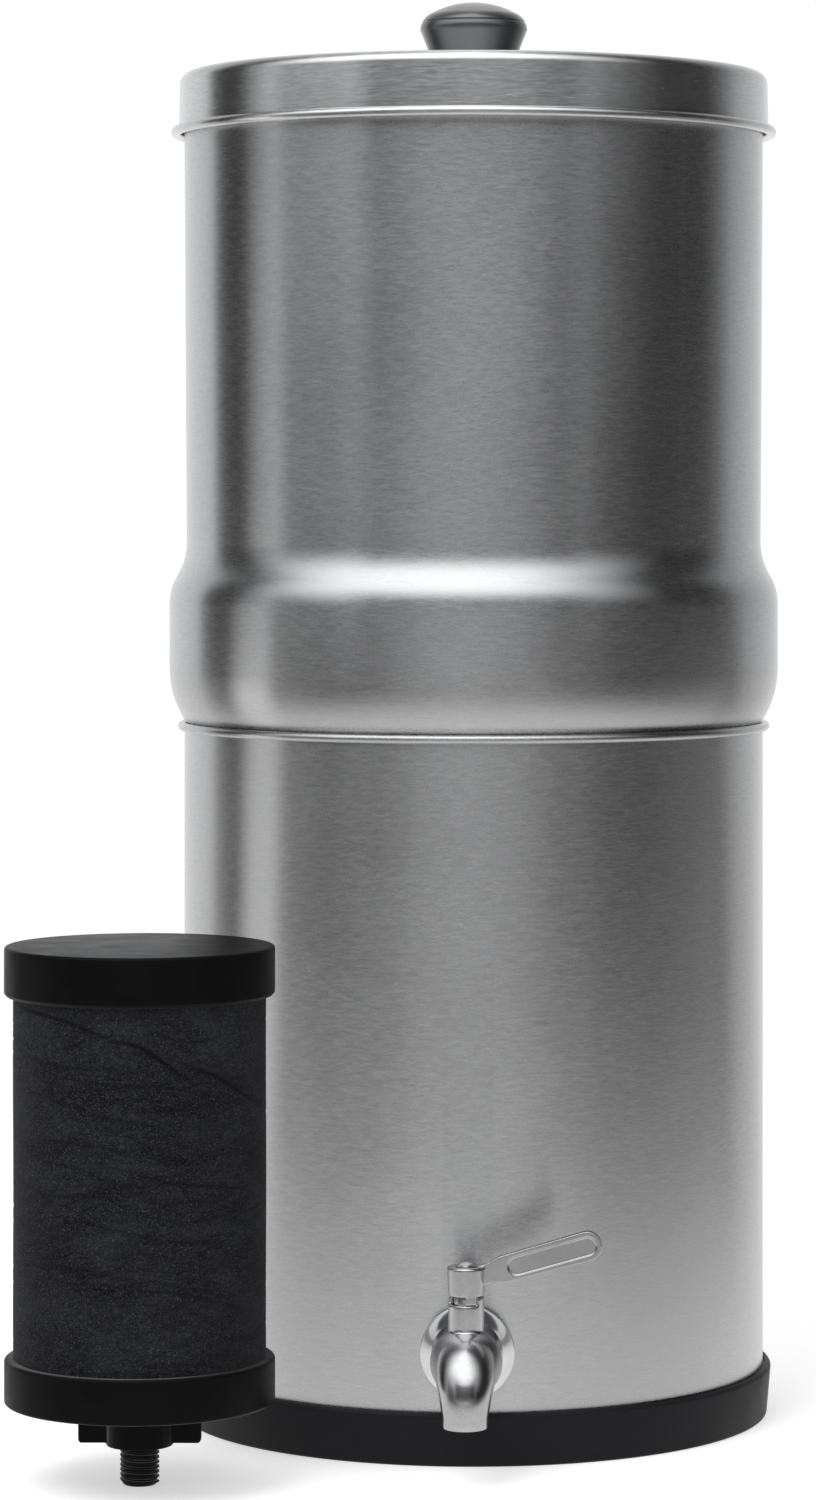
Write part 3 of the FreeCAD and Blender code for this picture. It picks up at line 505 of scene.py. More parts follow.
def grown(tree, data, **inputs):
    """Runs a geometry node tree on some data and returns the plain mesh."""
    holder = linked("holder", data)
    modifier = holder.modifiers.new("tree", "NODES")
    modifier.node_group = tree
    for item in tree.interface.items_tree:
        if item.in_out == "INPUT" and item.name in inputs:
            modifier[item.identifier] = inputs[item.name]
    return evaluated_mesh(holder)


def modified(mesh, **steps):
    """The mesh after modifiers, each named by its type with its settings."""
    holder = linked("holder", mesh)
    for kind, choices in steps.items():
        modifier = holder.modifiers.new(kind, kind)
        for name, choice in choices.items():
            setattr(modifier, name, choice)
    return evaluated_mesh(holder)


def facing_out(mesh):
    """Turns a closed mesh's faces outwards, joins its doubles and drops edges without a face."""
    with editing(mesh) as work:
        bmesh.ops.remove_doubles(work, verts=work.verts, dist=2e-7)
        bmesh.ops.dissolve_degenerate(work, edges=work.edges, dist=1e-8)
        bare = [edge for edge in work.edges if not edge.link_faces]
        bmesh.ops.delete(work, geom=bare, context="EDGES")
        if work.calc_volume(signed=True) < 0:
            bmesh.ops.reverse_faces(work, faces=work.faces)
    return mesh


def smoothed(mesh, angle=32):
    """Smooth shading, with edges sharper than the angle kept crisp."""
    mesh.shade_smooth()
    mesh.set_sharp_from_angle(angle=math.radians(angle))
    return mesh


def turned(section, finish, small=False, place=None):
    """The mesh of a turned piece, from its section."""
    shape = settings().shape
    section = neat(section)
    curve = bpy.data.curves.new("section", "CURVE")
    curve.dimensions = "3D"
    spline = curve.splines.new("POLY")
    spline.points.add(len(section) - 1)
    for point, (r, z) in zip(spline.points, section):
        point.co = (r * MM - PIN, -z * MM, 0, 1)
    spline.use_cyclic_u = section[0][0] > 0
    segments = shape.small_segments if small else shape.segments
    mesh = grown(lathe(), curve, Segments=segments, Pin=PIN, Finish=finish)
    bpy.data.curves.remove(curve)
    facing_out(mesh)
    if place is not None:
        mesh.transform(place)
    return smoothed(mesh)


def bar(radius, start, stop, sides=64):
    """A round bar between two points, as a cutter."""
    start, stop = Vector(start) * MM, Vector(stop) * MM
    radius *= MM
    turn = Vector((0, 0, 1)).rotation_difference(stop - start).to_matrix().to_4x4()
    mesh = bpy.data.meshes.new("cutter")
    with editing(mesh) as work:
        bmesh.ops.create_cone(work, cap_ends=True, segments=sides, radius1=radius,
                              radius2=radius, depth=(stop - start).length)
        work.transform(Matrix.Translation((start + stop) / 2) @ turn)
    return mesh


def bored(mesh, *cutters):
    """The mesh with each cutter taken away."""
    for cutter in cutters:
        tool = linked("tool", cutter)
        mesh = modified(mesh, BOOLEAN=dict(operation="DIFFERENCE", solver="EXACT", object=tool))
        bpy.data.objects.remove(tool)
    return smoothed(mesh)


def cad_copy(node):
    """A merged copy of a CAD node's mesh."""
    mesh = frame["nodes"][node].data.copy()
    with editing(mesh) as work:
        bmesh.ops.remove_doubles(work, verts=work.verts, dist=2e-6)
    mesh.materials.clear()
    return mesh


def cast(node, voxel, rounds):
    """A CAD node with the soft edges of a casting or a moulding, from some rounds of smoothing."""
    mesh = modified(cad_copy(node), REMESH=dict(mode="VOXEL", voxel_size=voxel),
                    SMOOTH=dict(factor=0.5, iterations=rounds))
    mesh.shade_smooth()
    return mesh


def edged(node, width):
    """A CAD node with its crisp edges broken to a width."""
    mesh = cad_copy(node)
    with editing(mesh) as work:
        bmesh.ops.dissolve_limit(work, angle_limit=math.radians(1), verts=work.verts,
                                 edges=work.edges)
    bevel = dict(width=width * MM, segments=2, limit_method="ANGLE", angle_limit=math.radians(40))
    return smoothed(modified(mesh, BEVEL=bevel))


def piece(name, mesh, finish, slot, *nodes, mirrored=True):
    """Puts a mesh in the scene for one or more CAD nodes of one body. A piece that isn't mirrored
    leaves no image in the steel beside it."""
    mesh.name = name
    mesh.materials.clear()
    mesh.materials.append(finish)
    mesh.polygons.foreach_set("material_index", [0] * len(mesh.polygons))
    thing = linked(name, mesh)
    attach(thing, BODY_OF[nodes[0]])
    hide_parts(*nodes)
    thing.visible_glossy = mirrored


def raised(x=0.0, y=0.0, z=0.0):
    return Matrix.Translation(Vector((x, y, z)) * MM)


def along_tap(distance):
    """Lays a turned piece on the tap's axis, its foot this far in front of the filter's axis."""
    return raised(0, -distance, TAP_HEIGHT) @ Matrix.Rotation(math.radians(90), 4, "X")


# -------- shader effects

@node_group("Brushed Grain", "Shader",
            (("Place", "Vector"), ("Length", "Float", 0.005), ("Width", "Float", 0.00035)),
            (("Tone", "Float"), ("Height", "Float")))
def brushed_grain(wires, given):
    """Fine brushing round the upright axis: a tone and a height that run round the piece."""
    place = given["Place"]
    x, y, z = wires.axes(place)
    radius = wires.math("SQRT", wires.math("ADD", wires.times(x, x), wires.times(y, y)))
    safe = wires.math("MAXIMUM", radius, 0.0001)
    wall = 0.11
    slow = wires.math("DIVIDE", wall, given["Length"])
    grain = wires.node("CombineXYZ", {
        "X": wires.times(wires.math("DIVIDE", x, safe), slow),
        "Y": wires.times(wires.math("DIVIDE", y, safe), slow),
        "Z": wires.math("DIVIDE", wires.math("ADD", radius, z), given["Width"]),
    }).outputs["Vector"]
    fine = wires.noise(grain, 1.0, 3.0, 0.6)
    coarse = wires.noise(wires.stretch(grain, (0.5, 0.5, 0.4)), 1.0, 2.0, 0.55)
    blotch = wires.noise(wires.stretch(place, (0.3, 0.3, 2.0)), 760.0, 3.0, 0.6)
    both = wires.math("ADD", wires.times(fine, 0.4), wires.times(coarse, 0.2))
    tone = wires.math("ADD", both, wires.times(blotch, 0.4))
    return wires.span(tone, 0.3, 0.7), fine


@node_group("Handling Marks", "Shader", (("Place", "Vector"), ("Size", "Float", 0.05)),
            (("Cloud", "Float"), ("Speck", "Float")))
def handling_marks(wires, given):
    """Broad faint clouds, as handling leaves them, and fine dust specks."""
    scale = wires.math("DIVIDE", 1.0, given["Size"])
    cloud = wires.noise(given["Place"], scale, 3.0, 0.55, 0.4)
    speck = wires.noise(given["Place"], wires.times(scale, 60.0), 1.0, 0.5)
    return wires.span(cloud, 0.35, 0.65), wires.span(speck, 0.66, 0.74)


@node_group("Moulded Grain", "Shader", (("Place", "Vector"), ("Size", "Float", 0.0006)),
            (("Tone", "Float"), ("Height", "Float")))
def moulded_grain(wires, given):
    """The fine matt texture of moulded rubber and plastic, and of castings."""
    scale = wires.math("DIVIDE", 1.0, given["Size"])
    fine = wires.noise(given["Place"], scale, 2.0, 0.6)
    broad = wires.noise(given["Place"], wires.times(scale, 0.04), 2.0, 0.5)
    return wires.span(wires.blend(fine, 0.5, broad), 0.35, 0.65), fine


@node_group("Fleece Fibres", "Shader", (("Place", "Vector"), ("Fibre", "Float", 0.0005)),
            (("Tone", "Float"), ("Speck", "Float"), ("Height", "Float")))
def fleece_fibres(wires, given):
    """Matted fibres of the fleece: a tone, specks for painted fibre glints and a height."""
    place = given["Place"]
    scale = wires.math("DIVIDE", 1.0, given["Fibre"])
    fine = wires.noise(place, scale, 3.0, 0.65, 0.6)
    drawn = wires.stretch(place, (0.5, 0.5, 1.4))
    matted = wires.noise(drawn, wires.times(scale, 0.3), 3.0, 0.6, 1.2)
    broad = wires.noise(wires.stretch(place, (0.7, 0.7, 1.6)), 45.0, 3.0, 0.55, 0.8)
    tone = wires.span(wires.blend(matted, 0.55, broad), 0.36, 0.64)
    return tone, wires.span(fine, 0.56, 0.68), wires.blend(fine, 0.5, matted)


# -------- materials

def shade(colour, factor):
    return (*[min(1.0, part * factor) for part in colour], 1.0)


def material(name):
    """Turns a function that wires a material into one that gives the material, made at first use.

    The function gets the wires and the object's coordinates, and returns the shader's inputs."""
    def wrap(fill):
        @wraps(fill)
        def finish():
            if name in bpy.data.materials:
                return bpy.data.materials[name]
            made = bpy.data.materials.new(name)
            made.use_nodes = True
            wires = Wires(made.node_tree)
            place = wires.node("TexCoord").outputs["Object"]
            shader = made.node_tree.nodes["Principled BSDF"]
            wires.feed_all(shader.inputs, fill(wires, place))
            return made
        return finish
    return wrap


def brushed(wires, place, colour, roughness):
    """Sheet steel brushed round its axis."""
    grain = wires.group(brushed_grain(), Place=place)
    marks = wires.group(handling_marks(), Place=place, Size=0.06)
    tone = wires.blend(grain["Tone"], 0.85, marks["Cloud"])
    share = settings().steel.grain
    tangent = wires.node("Tangent", direction_type="RADIAL", axis="Z")
    return {
        "Base Color": wires.mix(tone, shade(colour, 1 - share), shade(colour, 1 + share)),
        "Roughness": wires.span(tone, 0.0, 1.0, roughness - 0.05, roughness + 0.05),
        "Normal": wires.bump(grain["Height"], 0.10, 0.00002),
        "Metallic": 1.0,
        "Anisotropic": 0.85,
        "Anisotropic Rotation": 0.25,
        "Tangent": tangent.outputs["Tangent"],
    }


@material("Brushed steel")
def wall_steel(wires, place):
    """The chambers' steel."""
    return brushed(wires, place, settings().steel.colour, settings().steel.roughness)


@material("Brushed lid steel")
def lid_steel(wires, place):
    """The lid's steel, lighter and smoother than the chambers'."""
    return brushed(wires, place, settings().steel.lid_colour, 0.24)


@material("Satin tap steel")
def cast_steel(wires, place):
    """Satin castings of the tap, with a fine cast grain and polished high spots."""
    colour = settings().tap.colour
    marks = wires.group(handling_marks(), Place=place, Size=0.012)
    grain = wires.group(moulded_grain(), Place=place, Size=0.0007)
    tone = wires.blend(grain["Tone"], 0.5, marks["Cloud"])
    return {
        "Base Color": wires.mix(tone, shade(colour, 0.9), shade(colour, 1.12)),
        "Roughness": wires.span(tone, 0.0, 1.0, 0.25, 0.15),
        "Normal": wires.bump(grain["Height"], 0.05, 0.00004),
        "Metallic": 1.0,
    }


@material("Polished flange")
def polished(wires, place):
    """The bright flange."""
    colour = settings().tap.bright
    cloud = wires.group(handling_marks(), Place=place, Size=0.006)["Cloud"]
    return {
        "Base Color": wires.mix(cloud, shade(colour, 0.94), shade(colour, 1.05)),
        "Roughness": wires.span(cloud, 0.0, 1.0, 0.05, 0.11),
        "Metallic": 1.0,
    }


def moulding(wires, place, colour, roughness, grain_size, bump, specular=0.5, coat=0.0):
    """Rubber or moulded plastic, with a harder skin where it has a coat."""
    grain = wires.group(moulded_grain(), Place=place, Size=grain_size)
    marks = wires.group(handling_marks(), Place=place, Size=0.02)
    tone = wires.blend(grain["Tone"], 0.6, marks["Cloud"])
    base = wires.mix(tone, shade(colour, 0.75), shade(colour, 1.25))
    return {
        "Base Color": wires.mix(wires.times(marks["Speck"], 0.25), base, shade(colour, 3.0)),
        "Roughness": wires.span(tone, 0.0, 1.0, *roughness),
        "Normal": wires.bump(grain["Height"], bump, 0.00008),
        "Specular IOR Level": specular,
        "Coat Weight": coat,
        "Coat Roughness": 0.22,
        "Coat IOR": 2.0,
    }


@material("Black rubber")
def rubber(wires, place):
    """The base, the gaskets, the seals and the plug."""
    colour = settings().plastic.rubber
    return moulding(wires, place, colour, (0.42, 0.58), 0.0009, 0.35, specular=0.16)


@material("Charcoal plastic")
def knob_plastic(wires, place):
    """The lid's knob, with a glossy skin."""
    colour = settings().plastic.knob
    return moulding(wires, place, colour, (0.28, 0.40), 0.0005, 0.12, specular=0.6, coat=0.9)


@material("Black plastic")
def cap_plastic(wires, place):
    """The cartridges' caps and wing nuts."""
    colour = settings().plastic.cap
    return moulding(wires, place, colour, (0.32, 0.46), 0.0005, 0.2, specular=0.07)


@material("Pressed carbon")
def carbon(wires, place):
    """The filter blocks inside their wraps."""
    return moulding(wires, place, (0.012, 0.012, 0.012), (0.75, 0.95), 0.0012, 0.8)


@material("Charcoal fleece")
def fleece(wires, place):
    """Charcoal fleece: matted fibres, painted fibre glints and painted shade in the creases."""
    colour = settings().plastic.fleece
    fibres = wires.group(fleece_fibres(), Place=place)
    crease = wires.node("Attribute", attribute_name="crease").outputs["Fac"]
    base = wires.mix(fibres["Tone"], shade(colour, 0.15), shade(colour, 1.6))
    # The specks lighten the colour sevenfold: painted glints of the fibres, in place of real
    # sparkle.
    lit = wires.mix(wires.times(fibres["Speck"], 0.8), base, shade(colour, 7.0))
    return {
        # Painted shade: the colour darkens towards a tenth of itself along the creases, by their
        # depth.
        "Base Color": wires.mix(wires.span(crease, 0.0, 1.0, 0.0, 0.9), lit, shade(colour, 0.1)),
        "Roughness": wires.span(fibres["Tone"], 0.0, 1.0, 0.62, 0.82),
        "Normal": wires.bump(fibres["Height"], 1.0, 0.0005),
        "Specular IOR Level": 0.10,
        "Sheen Weight": 0.03,
        "Sheen Roughness": 0.4,
    }


# -------- sections

def lower_section():
    outer = rounded((0, CHAMBER_FOOT), (LOWER_WALL, CHAMBER_FOOT, FLOOR_BEND),
                    (LOWER_WALL, LOWER_RIM))[:-1]
    return sheet_section(outer + arc(LOWER_WALL + RIM_CURL, LOWER_RIM, RIM_CURL, 180, -90))


def upper_section():
    """The upper chamber: its foot nests in the lower one, and three arcs make the bulge."""
    under, over, inward = 37, 20, 24
    foot_turn = math.degrees(math.asin((BULGE_FOOT - NEST_TOP) / under))
    shoulder_turn = math.degrees(math.acos(1 - (BULGE - WAIST) / (over + inward)))
    lip = 1.5
    outer = rounded((0, UPPER_FLOOR), (NEST_WALL, UPPER_FLOOR, FLOOR_BEND),
                    (NEST_WALL, NEST_TOP))[:-1]
    outer += arc(BULGE - under, BULGE_FOOT, under, -foot_turn, 0)
    outer += arc(BULGE - over, BULGE_TOP, over, 0, shoulder_turn)
    outer += arc(WAIST + inward, WAIST_HEIGHT, inward, 180 + shoulder_turn, 180)
    outer += arc(UPPER_WALL - lip, UPPER_RIM, lip, 0, 180)
    return sheet_section(outer + [(UPPER_WALL - 2 * lip, UPPER_RIM - 2)])


def lid_section():
    curl, skirt = 1.1, 113.3
    outer = rounded((0, LID_TOP), (112.9, LID_TOP, 4), (skirt, LID_CURL))[:-1]
    return sheet_section(outer + arc(skirt + curl, LID_CURL, curl, 180, 450), -1)


def boot_section():
    inside = 111.85
    return rounded((0, 0), (112.6, 0, 1.2), (114.3, BOOT_TOP, 1.7), (inside, BOOT_TOP, 0.3),
                   (inside, BOOT_LEDGE), (LOWER_WALL, BOOT_LEDGE),
                   (LOWER_WALL, CHAMBER_FOOT, FLOOR_BEND), (0, CHAMBER_FOOT))


def knob_section():
    """The knob: a flared side, a round edge with a fine groove in it, and a dome."""
    edge_r, edge_z, edge = 13.6, 17.325, 7.0
    dome, hollow = 59.75, 14
    side = [(2.5, 0), (13.9, 0), (14.2, 0.3), (15.6, 4.4), (18.2, 11.4), (20.0, 15.9)]
    top = arc(edge_r, edge_z, edge, 0, 20) + arc(edge_r, edge_z, 6.72, 24, 24)[:1]
    top += arc(edge_r, edge_z, edge, 28, dome) + arc(0, -6, 34, dome, 90)
    return side + top + [(0, hollow), (2.5, hollow)]


def flange_section():
    bore, radius = 7.9, 17.1
    rim = rounded((bore, 0), (radius, 0, 0.35), (radius, 0.75, 0.3), (16.54, 0.78))[:-1]
    return rim + arc(0, -56.9, 60.0, 74.0, 82.2) + [(bore, 2.55)]


def screw_head_section():
    head = 12.3
    return rounded((0, 0), (2, 0), (2, head), (3.9, head, 0.15), (3.85, 12.5))[:-1] + \
        arc(0, 8.6765, 5.3235, 43.5, 90)


def lid_screw_section():
    head, ledge, shank, top = 4.6, 2.6, 2.5, 16.6
    return rounded((0, 0), (head, 0, 0.8), (head, ledge, 0.2), (shank, ledge), (shank, top),
                   (0, top))


def plug_section():
    neck, head, flange, top = 7.1, 12.5, 10.1, 13.8
    return rounded((0, 0), (6.3, 0, 0.4), (neck, PLUG_SEAT), (neck, flange), (head, flange, 0.3),
                   (head, top, 1.0), (0, top))


def foot_cap_section():
    """The lower cap: a threaded stem, a collar and a cup round the block's foot."""
    stem, collar, ledge = 6.3, 18.45, 29.5
    return rounded((3, 0), (5.6, 0, 0.2), (stem, 0.9), (stem, 23.4), (7.1, 24.0), (7.1, 26.6),
                   (collar, 26.6, 0.5), (collar, ledge, 0.3), (CAP_RADIUS, ledge, 1.3),
                   (CAP_RADIUS, FOOT_CAP_TOP, 1.2), (BLOCK_RADIUS, FOOT_CAP_TOP),
                   (BLOCK_RADIUS, BLOCK_FOOT), (3, BLOCK_FOOT))


def top_cap_section():
    top = 191.7
    return rounded((BLOCK_RADIUS, TOP_CAP_FOOT), (47.2, TOP_CAP_FOOT, 0.3),
                   (CAP_RADIUS, 175.2, 0.4), (CAP_RADIUS, top, 1.2), (0, top), (0, BLOCK_TOP),
                   (BLOCK_RADIUS, BLOCK_TOP))


def ring_section(inner, outer, foot, top, edge):
    return rounded((inner, foot, edge), (outer, foot, edge), (outer, top, edge),
                   (inner, top, edge))


# -------- cartridge parts

WRAP_STEPS = 400
WRAP_ROWS = 220
SMALL_CREASES = 120
CREASE_BOW = 1.8
SWELL = 0.12
FADE = 2.0


def creases():
    """Creases of the wrap: start and stop (degrees, height), share of the depth, and width.

    Angle 0 faces front, and grows to the right."""
    found = [
        (-64, 174, -2, 161, 0.9, 0.8), (-6, 162, 30, 150, 1.0, 0.8),
        (26, 151.5, 78, 138, 0.9, 0.8), (-66, 158, 8, 150, 0.55, 0.7),
        (-20, 150, 62, 138, 0.5, 0.7), (-62, 142, 20, 134, 0.45, 0.7),
        (-50, 126, 40, 121, 0.4, 0.7), (4, 118, 70, 104, 0.6, 0.7),
        (-66, 112, -4, 106, 0.5, 0.7), (-30, 98, 50, 92, 0.45, 0.7),
        (-64, 84, 12, 78, 0.5, 0.7), (0, 76, 68, 66, 0.5, 0.7),
    ]
    draw = random.Random(11)
    for _ in range(SMALL_CREASES):
        start, height = draw.uniform(-180, 180), draw.uniform(50, 172)
        reach = draw.uniform(12, 48)
        found.append((start, height, start + reach, height - reach * draw.uniform(-0.12, 0.22),
                      draw.uniform(0.2, 0.5), draw.uniform(0.35, 0.6)))
    return found


def crease_depth(angles, heights):
    """How deep the creases are at each point of the wrap, as a share of the deepest."""
    depth = numpy.zeros_like(angles)
    degree = math.radians(1) * BLOCK_RADIUS
    for start, foot, stop, top, share, width in creases():
        run = numpy.array(((stop - start) * degree, top - foot))
        length = numpy.hypot(*run)
        turn = ((angles - start + 180) % 360 - 180) * degree
        rise = heights - foot
        along = (turn * run[0] + rise * run[1]) / length
        wave = numpy.clip(along / length, 0, 1) * math.pi * 1.5 + start
        bow = CREASE_BOW * numpy.sin(wave)
        off = (rise * run[0] - turn * run[1]) / length - bow
        ends = numpy.clip(along / (0.15 * length), 0, 1)
        ends = ends * numpy.clip((length - along) / (0.3 * length), 0, 1)
        depth = numpy.maximum(depth, share * numpy.sqrt(ends) * numpy.exp(-(off / width) ** 2))
    return depth


def wrap_ring(radii, angles, heights):
    """Points on the wrap, in metres."""
    turn = numpy.radians(angles)
    spots = numpy.stack((radii * numpy.sin(turn), -radii * numpy.cos(turn), heights), axis=-1)
    return (spots * MM).reshape(-1, 3)


def fleece_mesh():
    """The wrap round the block, creased where it shows, with its inner face and ends closed."""
    heights = numpy.linspace(FOOT_CAP_TOP, TOP_CAP_FOOT, WRAP_ROWS)
    heights = numpy.concatenate(([BLOCK_FOOT], heights, [BLOCK_TOP]))
    angles = numpy.linspace(-180, 180, WRAP_STEPS, endpoint=False)
    grid_a, grid_z = numpy.meshgrid(angles, heights)
    fade = numpy.clip((grid_z - FOOT_CAP_TOP) / FADE, 0, 1)
    fade = fade * numpy.clip((TOP_CAP_FOOT - grid_z) / FADE, 0, 1)
    depth = crease_depth(grid_a, grid_z)
    swell = SWELL * (1 - numpy.cos(numpy.radians(grid_a * 3 + grid_z * 4))) / 2
    sunk = (depth * settings().plastic.crease / MM + swell) * fade
    rings = [wrap_ring(BLOCK_RADIUS - sunk, grid_a, grid_z)]
    for height in (BLOCK_TOP, BLOCK_FOOT):
        rings.append(wrap_ring(WRAP_INNER, angles, numpy.full(WRAP_STEPS, height)))
    levels = list(range(WRAP_ROWS + 4)) + [0]
    faces = []
    for first, second in zip(levels, levels[1:]):
        for step in range(WRAP_STEPS):
            after = (step + 1) % WRAP_STEPS
            faces.append((first * WRAP_STEPS + step, first * WRAP_STEPS + after,
                          second * WRAP_STEPS + after, second * WRAP_STEPS + step))
    mesh = bpy.data.meshes.new("fleece_wrap")
    mesh.from_pydata([tuple(spot) for spot in numpy.concatenate(rings)], [], faces)
    # Each point keeps its crease depth, from which the fleece's colour paints shade into the
    # creases.
    mark = mesh.attributes.new("crease", "FLOAT", "POINT")
    marks = numpy.concatenate(((depth * fade).reshape(-1), numpy.zeros(2 * WRAP_STEPS)))
    mark.data.foreach_set("value", marks.astype(numpy.float32))
    with editing(mesh) as work:
        if work.calc_volume(signed=True) < 0:
            bmesh.ops.reverse_faces(work, faces=work.faces)
    return smoothed(mesh, angle=60)


def foot_cap_mesh(finish):
    """The lower cap with the ridge of the thread on its stem."""
    height = STEM_THREAD_HEIGHT * MM
    empty = bpy.data.meshes.new("thread_start")
    ridge = grown(thread(), empty, Radius=STEM_THREAD_RADIUS * MM, Height=height,
                  Turns=height / settings().plastic.thread_pitch, Depth=STEM_THREAD_DEPTH * MM,
                  Finish=finish)
    bpy.data.meshes.remove(empty)
    facing_out(ridge)
    ridge.transform(raised(z=STEM_THREAD_FOOT))
    whole = bpy.data.meshes.new("foot_cap")
    with editing(whole) as work:
        work.from_mesh(turned(foot_cap_section(), finish))
        work.from_mesh(ridge)
    return smoothed(whole)


# -------- operators

class FILTER_OT_base(Operator):
    """Makes the rubber base"""

    bl_idname = "filter.base"
    bl_label = "Rubber Base"

    def execute(self, context):
        seal = rubber()
        piece("rubber_base", turned(boot_section(), seal), seal, "black_rubber", "base_boot")
        return {"FINISHED"}


class FILTER_OT_lower_chamber(Operator):
    """Makes the lower steel chamber, with the tap's hole"""

    bl_idname = "filter.lower_chamber"
    bl_label = "Lower Chamber"

    def execute(self, context):
        steel = wall_steel()
        inside, outside = -95, -125
        hole = bar(TAP_HOLE, (0, inside, TAP_HEIGHT), (0, outside, TAP_HEIGHT))
        mesh = bored(turned(lower_section(), steel), hole)
        piece("lower_can", mesh, steel, "brushed_steel", "lower_chamber")
        return {"FINISHED"}


class FILTER_OT_upper_chamber(Operator):
    """Makes the upper steel chamber, with the two cartridge holes"""

    bl_idname = "filter.upper_chamber"
    bl_label = "Upper Chamber"

    def execute(self, context):
        steel = wall_steel()
        below, above = UPPER_FLOOR - 5, UPPER_FLOOR + 5
        holes = [bar(CARTRIDGE_HOLE, (side, 0, below), (side, 0, above))
                 for side in (-CARTRIDGE_OFFSET, CARTRIDGE_OFFSET)]
        mesh = bored(turned(upper_section(), steel), *holes)
        piece("upper_can", mesh, steel, "brushed_steel", "upper_chamber")
        return {"FINISHED"}


class FILTER_OT_lid(Operator):
    """Makes the lid and its knob, with the knob's screw and washer"""

    bl_idname = "filter.lid"
    bl_label = "Lid and Knob"

    def execute(self, context):
        steel, plastic, metal = lid_steel(), knob_plastic(), cast_steel()
        below, above = 505, 520
        hole = bar(KNOB_HOLE, (0, 0, below), (0, 0, above), sides=32)
        mesh = bored(turned(lid_section(), steel), hole)
        piece("steel_lid", mesh, steel, "brushed_steel", "lid")
        knob = turned(knob_section(), plastic, place=raised(z=LID_TOP))
        piece("knob", knob, plastic, "charcoal_plastic", "lid_knob")
        screw = turned(lid_screw_section(), metal, True, raised(z=KNOB_SCREW_FOOT))
        piece("screw_under_lid", screw, metal, "tap_steel", "knob_screw")
        ring = turned(ring_section(KNOB_HOLE, 7.5, 0, 1.2, 0.2), metal, True,
                      raised(z=KNOB_WASHER_FOOT))
        piece("washer_under_lid", ring, metal, "tap_steel", "knob_washer")
        return {"FINISHED"}


class FILTER_OT_tap_seat(Operator):
    """Makes what holds the tap in the wall: gaskets, flange, washer and lock nut"""

    bl_idname = "filter.tap_seat"
    bl_label = "Tap Seat"

    def execute(self, context):
        seal, metal, bright = rubber(), cast_steel(), polished()
        for side in ("outer", "inner"):
            node = f"tap_{side}_gasket"
            piece(f"{side}_gasket", edged(node, GASKET_EDGE), seal, "black_rubber", node)
        flange = turned(flange_section(), bright, place=along_tap(FLANGE_FOOT))
        piece("flange", flange, bright, "chrome", "tap_flange")
        ring = turned(ring_section(TAP_HOLE, 14.0, 0, 1.6, 0.25), metal, True,
                      along_tap(WASHER_FOOT))
        piece("inner_washer", ring, metal, "tap_steel", "tap_washer")
        piece("lock_nut", edged("tap_lock_nut", NUT_EDGE), metal, "tap_steel", "tap_lock_nut")
        return {"FINISHED"}


class FILTER_OT_tap(Operator):
    """Makes the tap's casting and its turning plug with the ring seals"""

    bl_idname = "filter.tap"
    bl_label = "Tap Body"

    def execute(self, context):
        metal = cast_steel()
        casting = cast("tap_body", settings().tap.body_voxel, rounds=9)
        piece("tap_casting", casting, metal, "tap_steel", "tap_body")
        plug = edged("valve_spindle", SPINDLE_EDGE)
        piece("valve_plug", plug, metal, "tap_steel", "valve_spindle")
        for holder in frame["nodes"]["valve_seals"].material_slots:
            holder.material = rubber()
        return {"FINISHED"}


class FILTER_OT_lever(Operator):
    """Makes the lever and its screw"""

    bl_idname = "filter.lever"
    bl_label = "Lever"

    def execute(self, context):
        metal = cast_steel()
        lever = cast("tap_lever", settings().tap.lever_voxel, rounds=4)
        piece("lever", lever, metal, "tap_steel", "tap_lever")
        screw = turned(screw_head_section(), metal, True, raised(0, NECK_AXIS, LEVER_TOP))
        piece("lever_cap_screw", screw, metal, "tap_steel", "lever_screw")
        return {"FINISHED"}


class FILTER_OT_hole_plug(Operator):
    """Makes the rubber plug of the free cartridge hole"""

    bl_idname = "filter.hole_plug"
    bl_label = "Hole Plug"

    def execute(self, context):
        seal = rubber()
        place = raised(CARTRIDGE_OFFSET, 0, UPPER_FLOOR - PLUG_SEAT)
        plug = turned(plug_section(), seal, True, place)
        piece("plug", plug, seal, "black_rubber", "hole_plug")
        return {"FINISHED"}


class FILTER_OT_cartridges(Operator):
    """Makes both filter cartridges: caps, block, wrap, washer and wing nut"""

    bl_idname = "filter.cartridges"
    bl_label = "Cartridges"

    def execute(self, context):
        plastic, seal, cloth, block = cap_plastic(), rubber(), fleece(), carbon()
        washer = turned(ring_section(7.1, 15.4, 24.2, 26.6, 0.5), seal, True)
        shared = (
            ("foot_cap", foot_cap_mesh(plastic), plastic, "black_plastic"),
            ("top_cap", turned(top_cap_section(), plastic), plastic, "black_plastic"),
            ("fleece_wrap", fleece_mesh(), cloth, "fleece"),
            ("washer", washer, seal, "black_rubber"),
        )
        for name, spot in (("fitted", FITTED), ("spare", SPARE)):
            parts = []
            for label, mesh, surface, slot in shared:
                own = mesh.copy()
                own.transform(Matrix.Translation(spot * MM))
                parts.append((label, own, surface, slot))
            nut = cast(f"{name}_wing_nut", WING_NUT_VOXEL * MM, rounds=3)
            parts.append(("wing_nut", nut, plastic, "black_plastic"))
            parts.append(("carbon_block", cad_copy(f"{name}_carbon_block"), block, "carbon"))
            for label, mesh, surface, slot in parts:
                piece(f"{name}_{label}_piece", mesh, surface, slot, f"{name}_{label}",
                      mirrored=name == "fitted")
        return {"FINISHED"}


# -------- stage

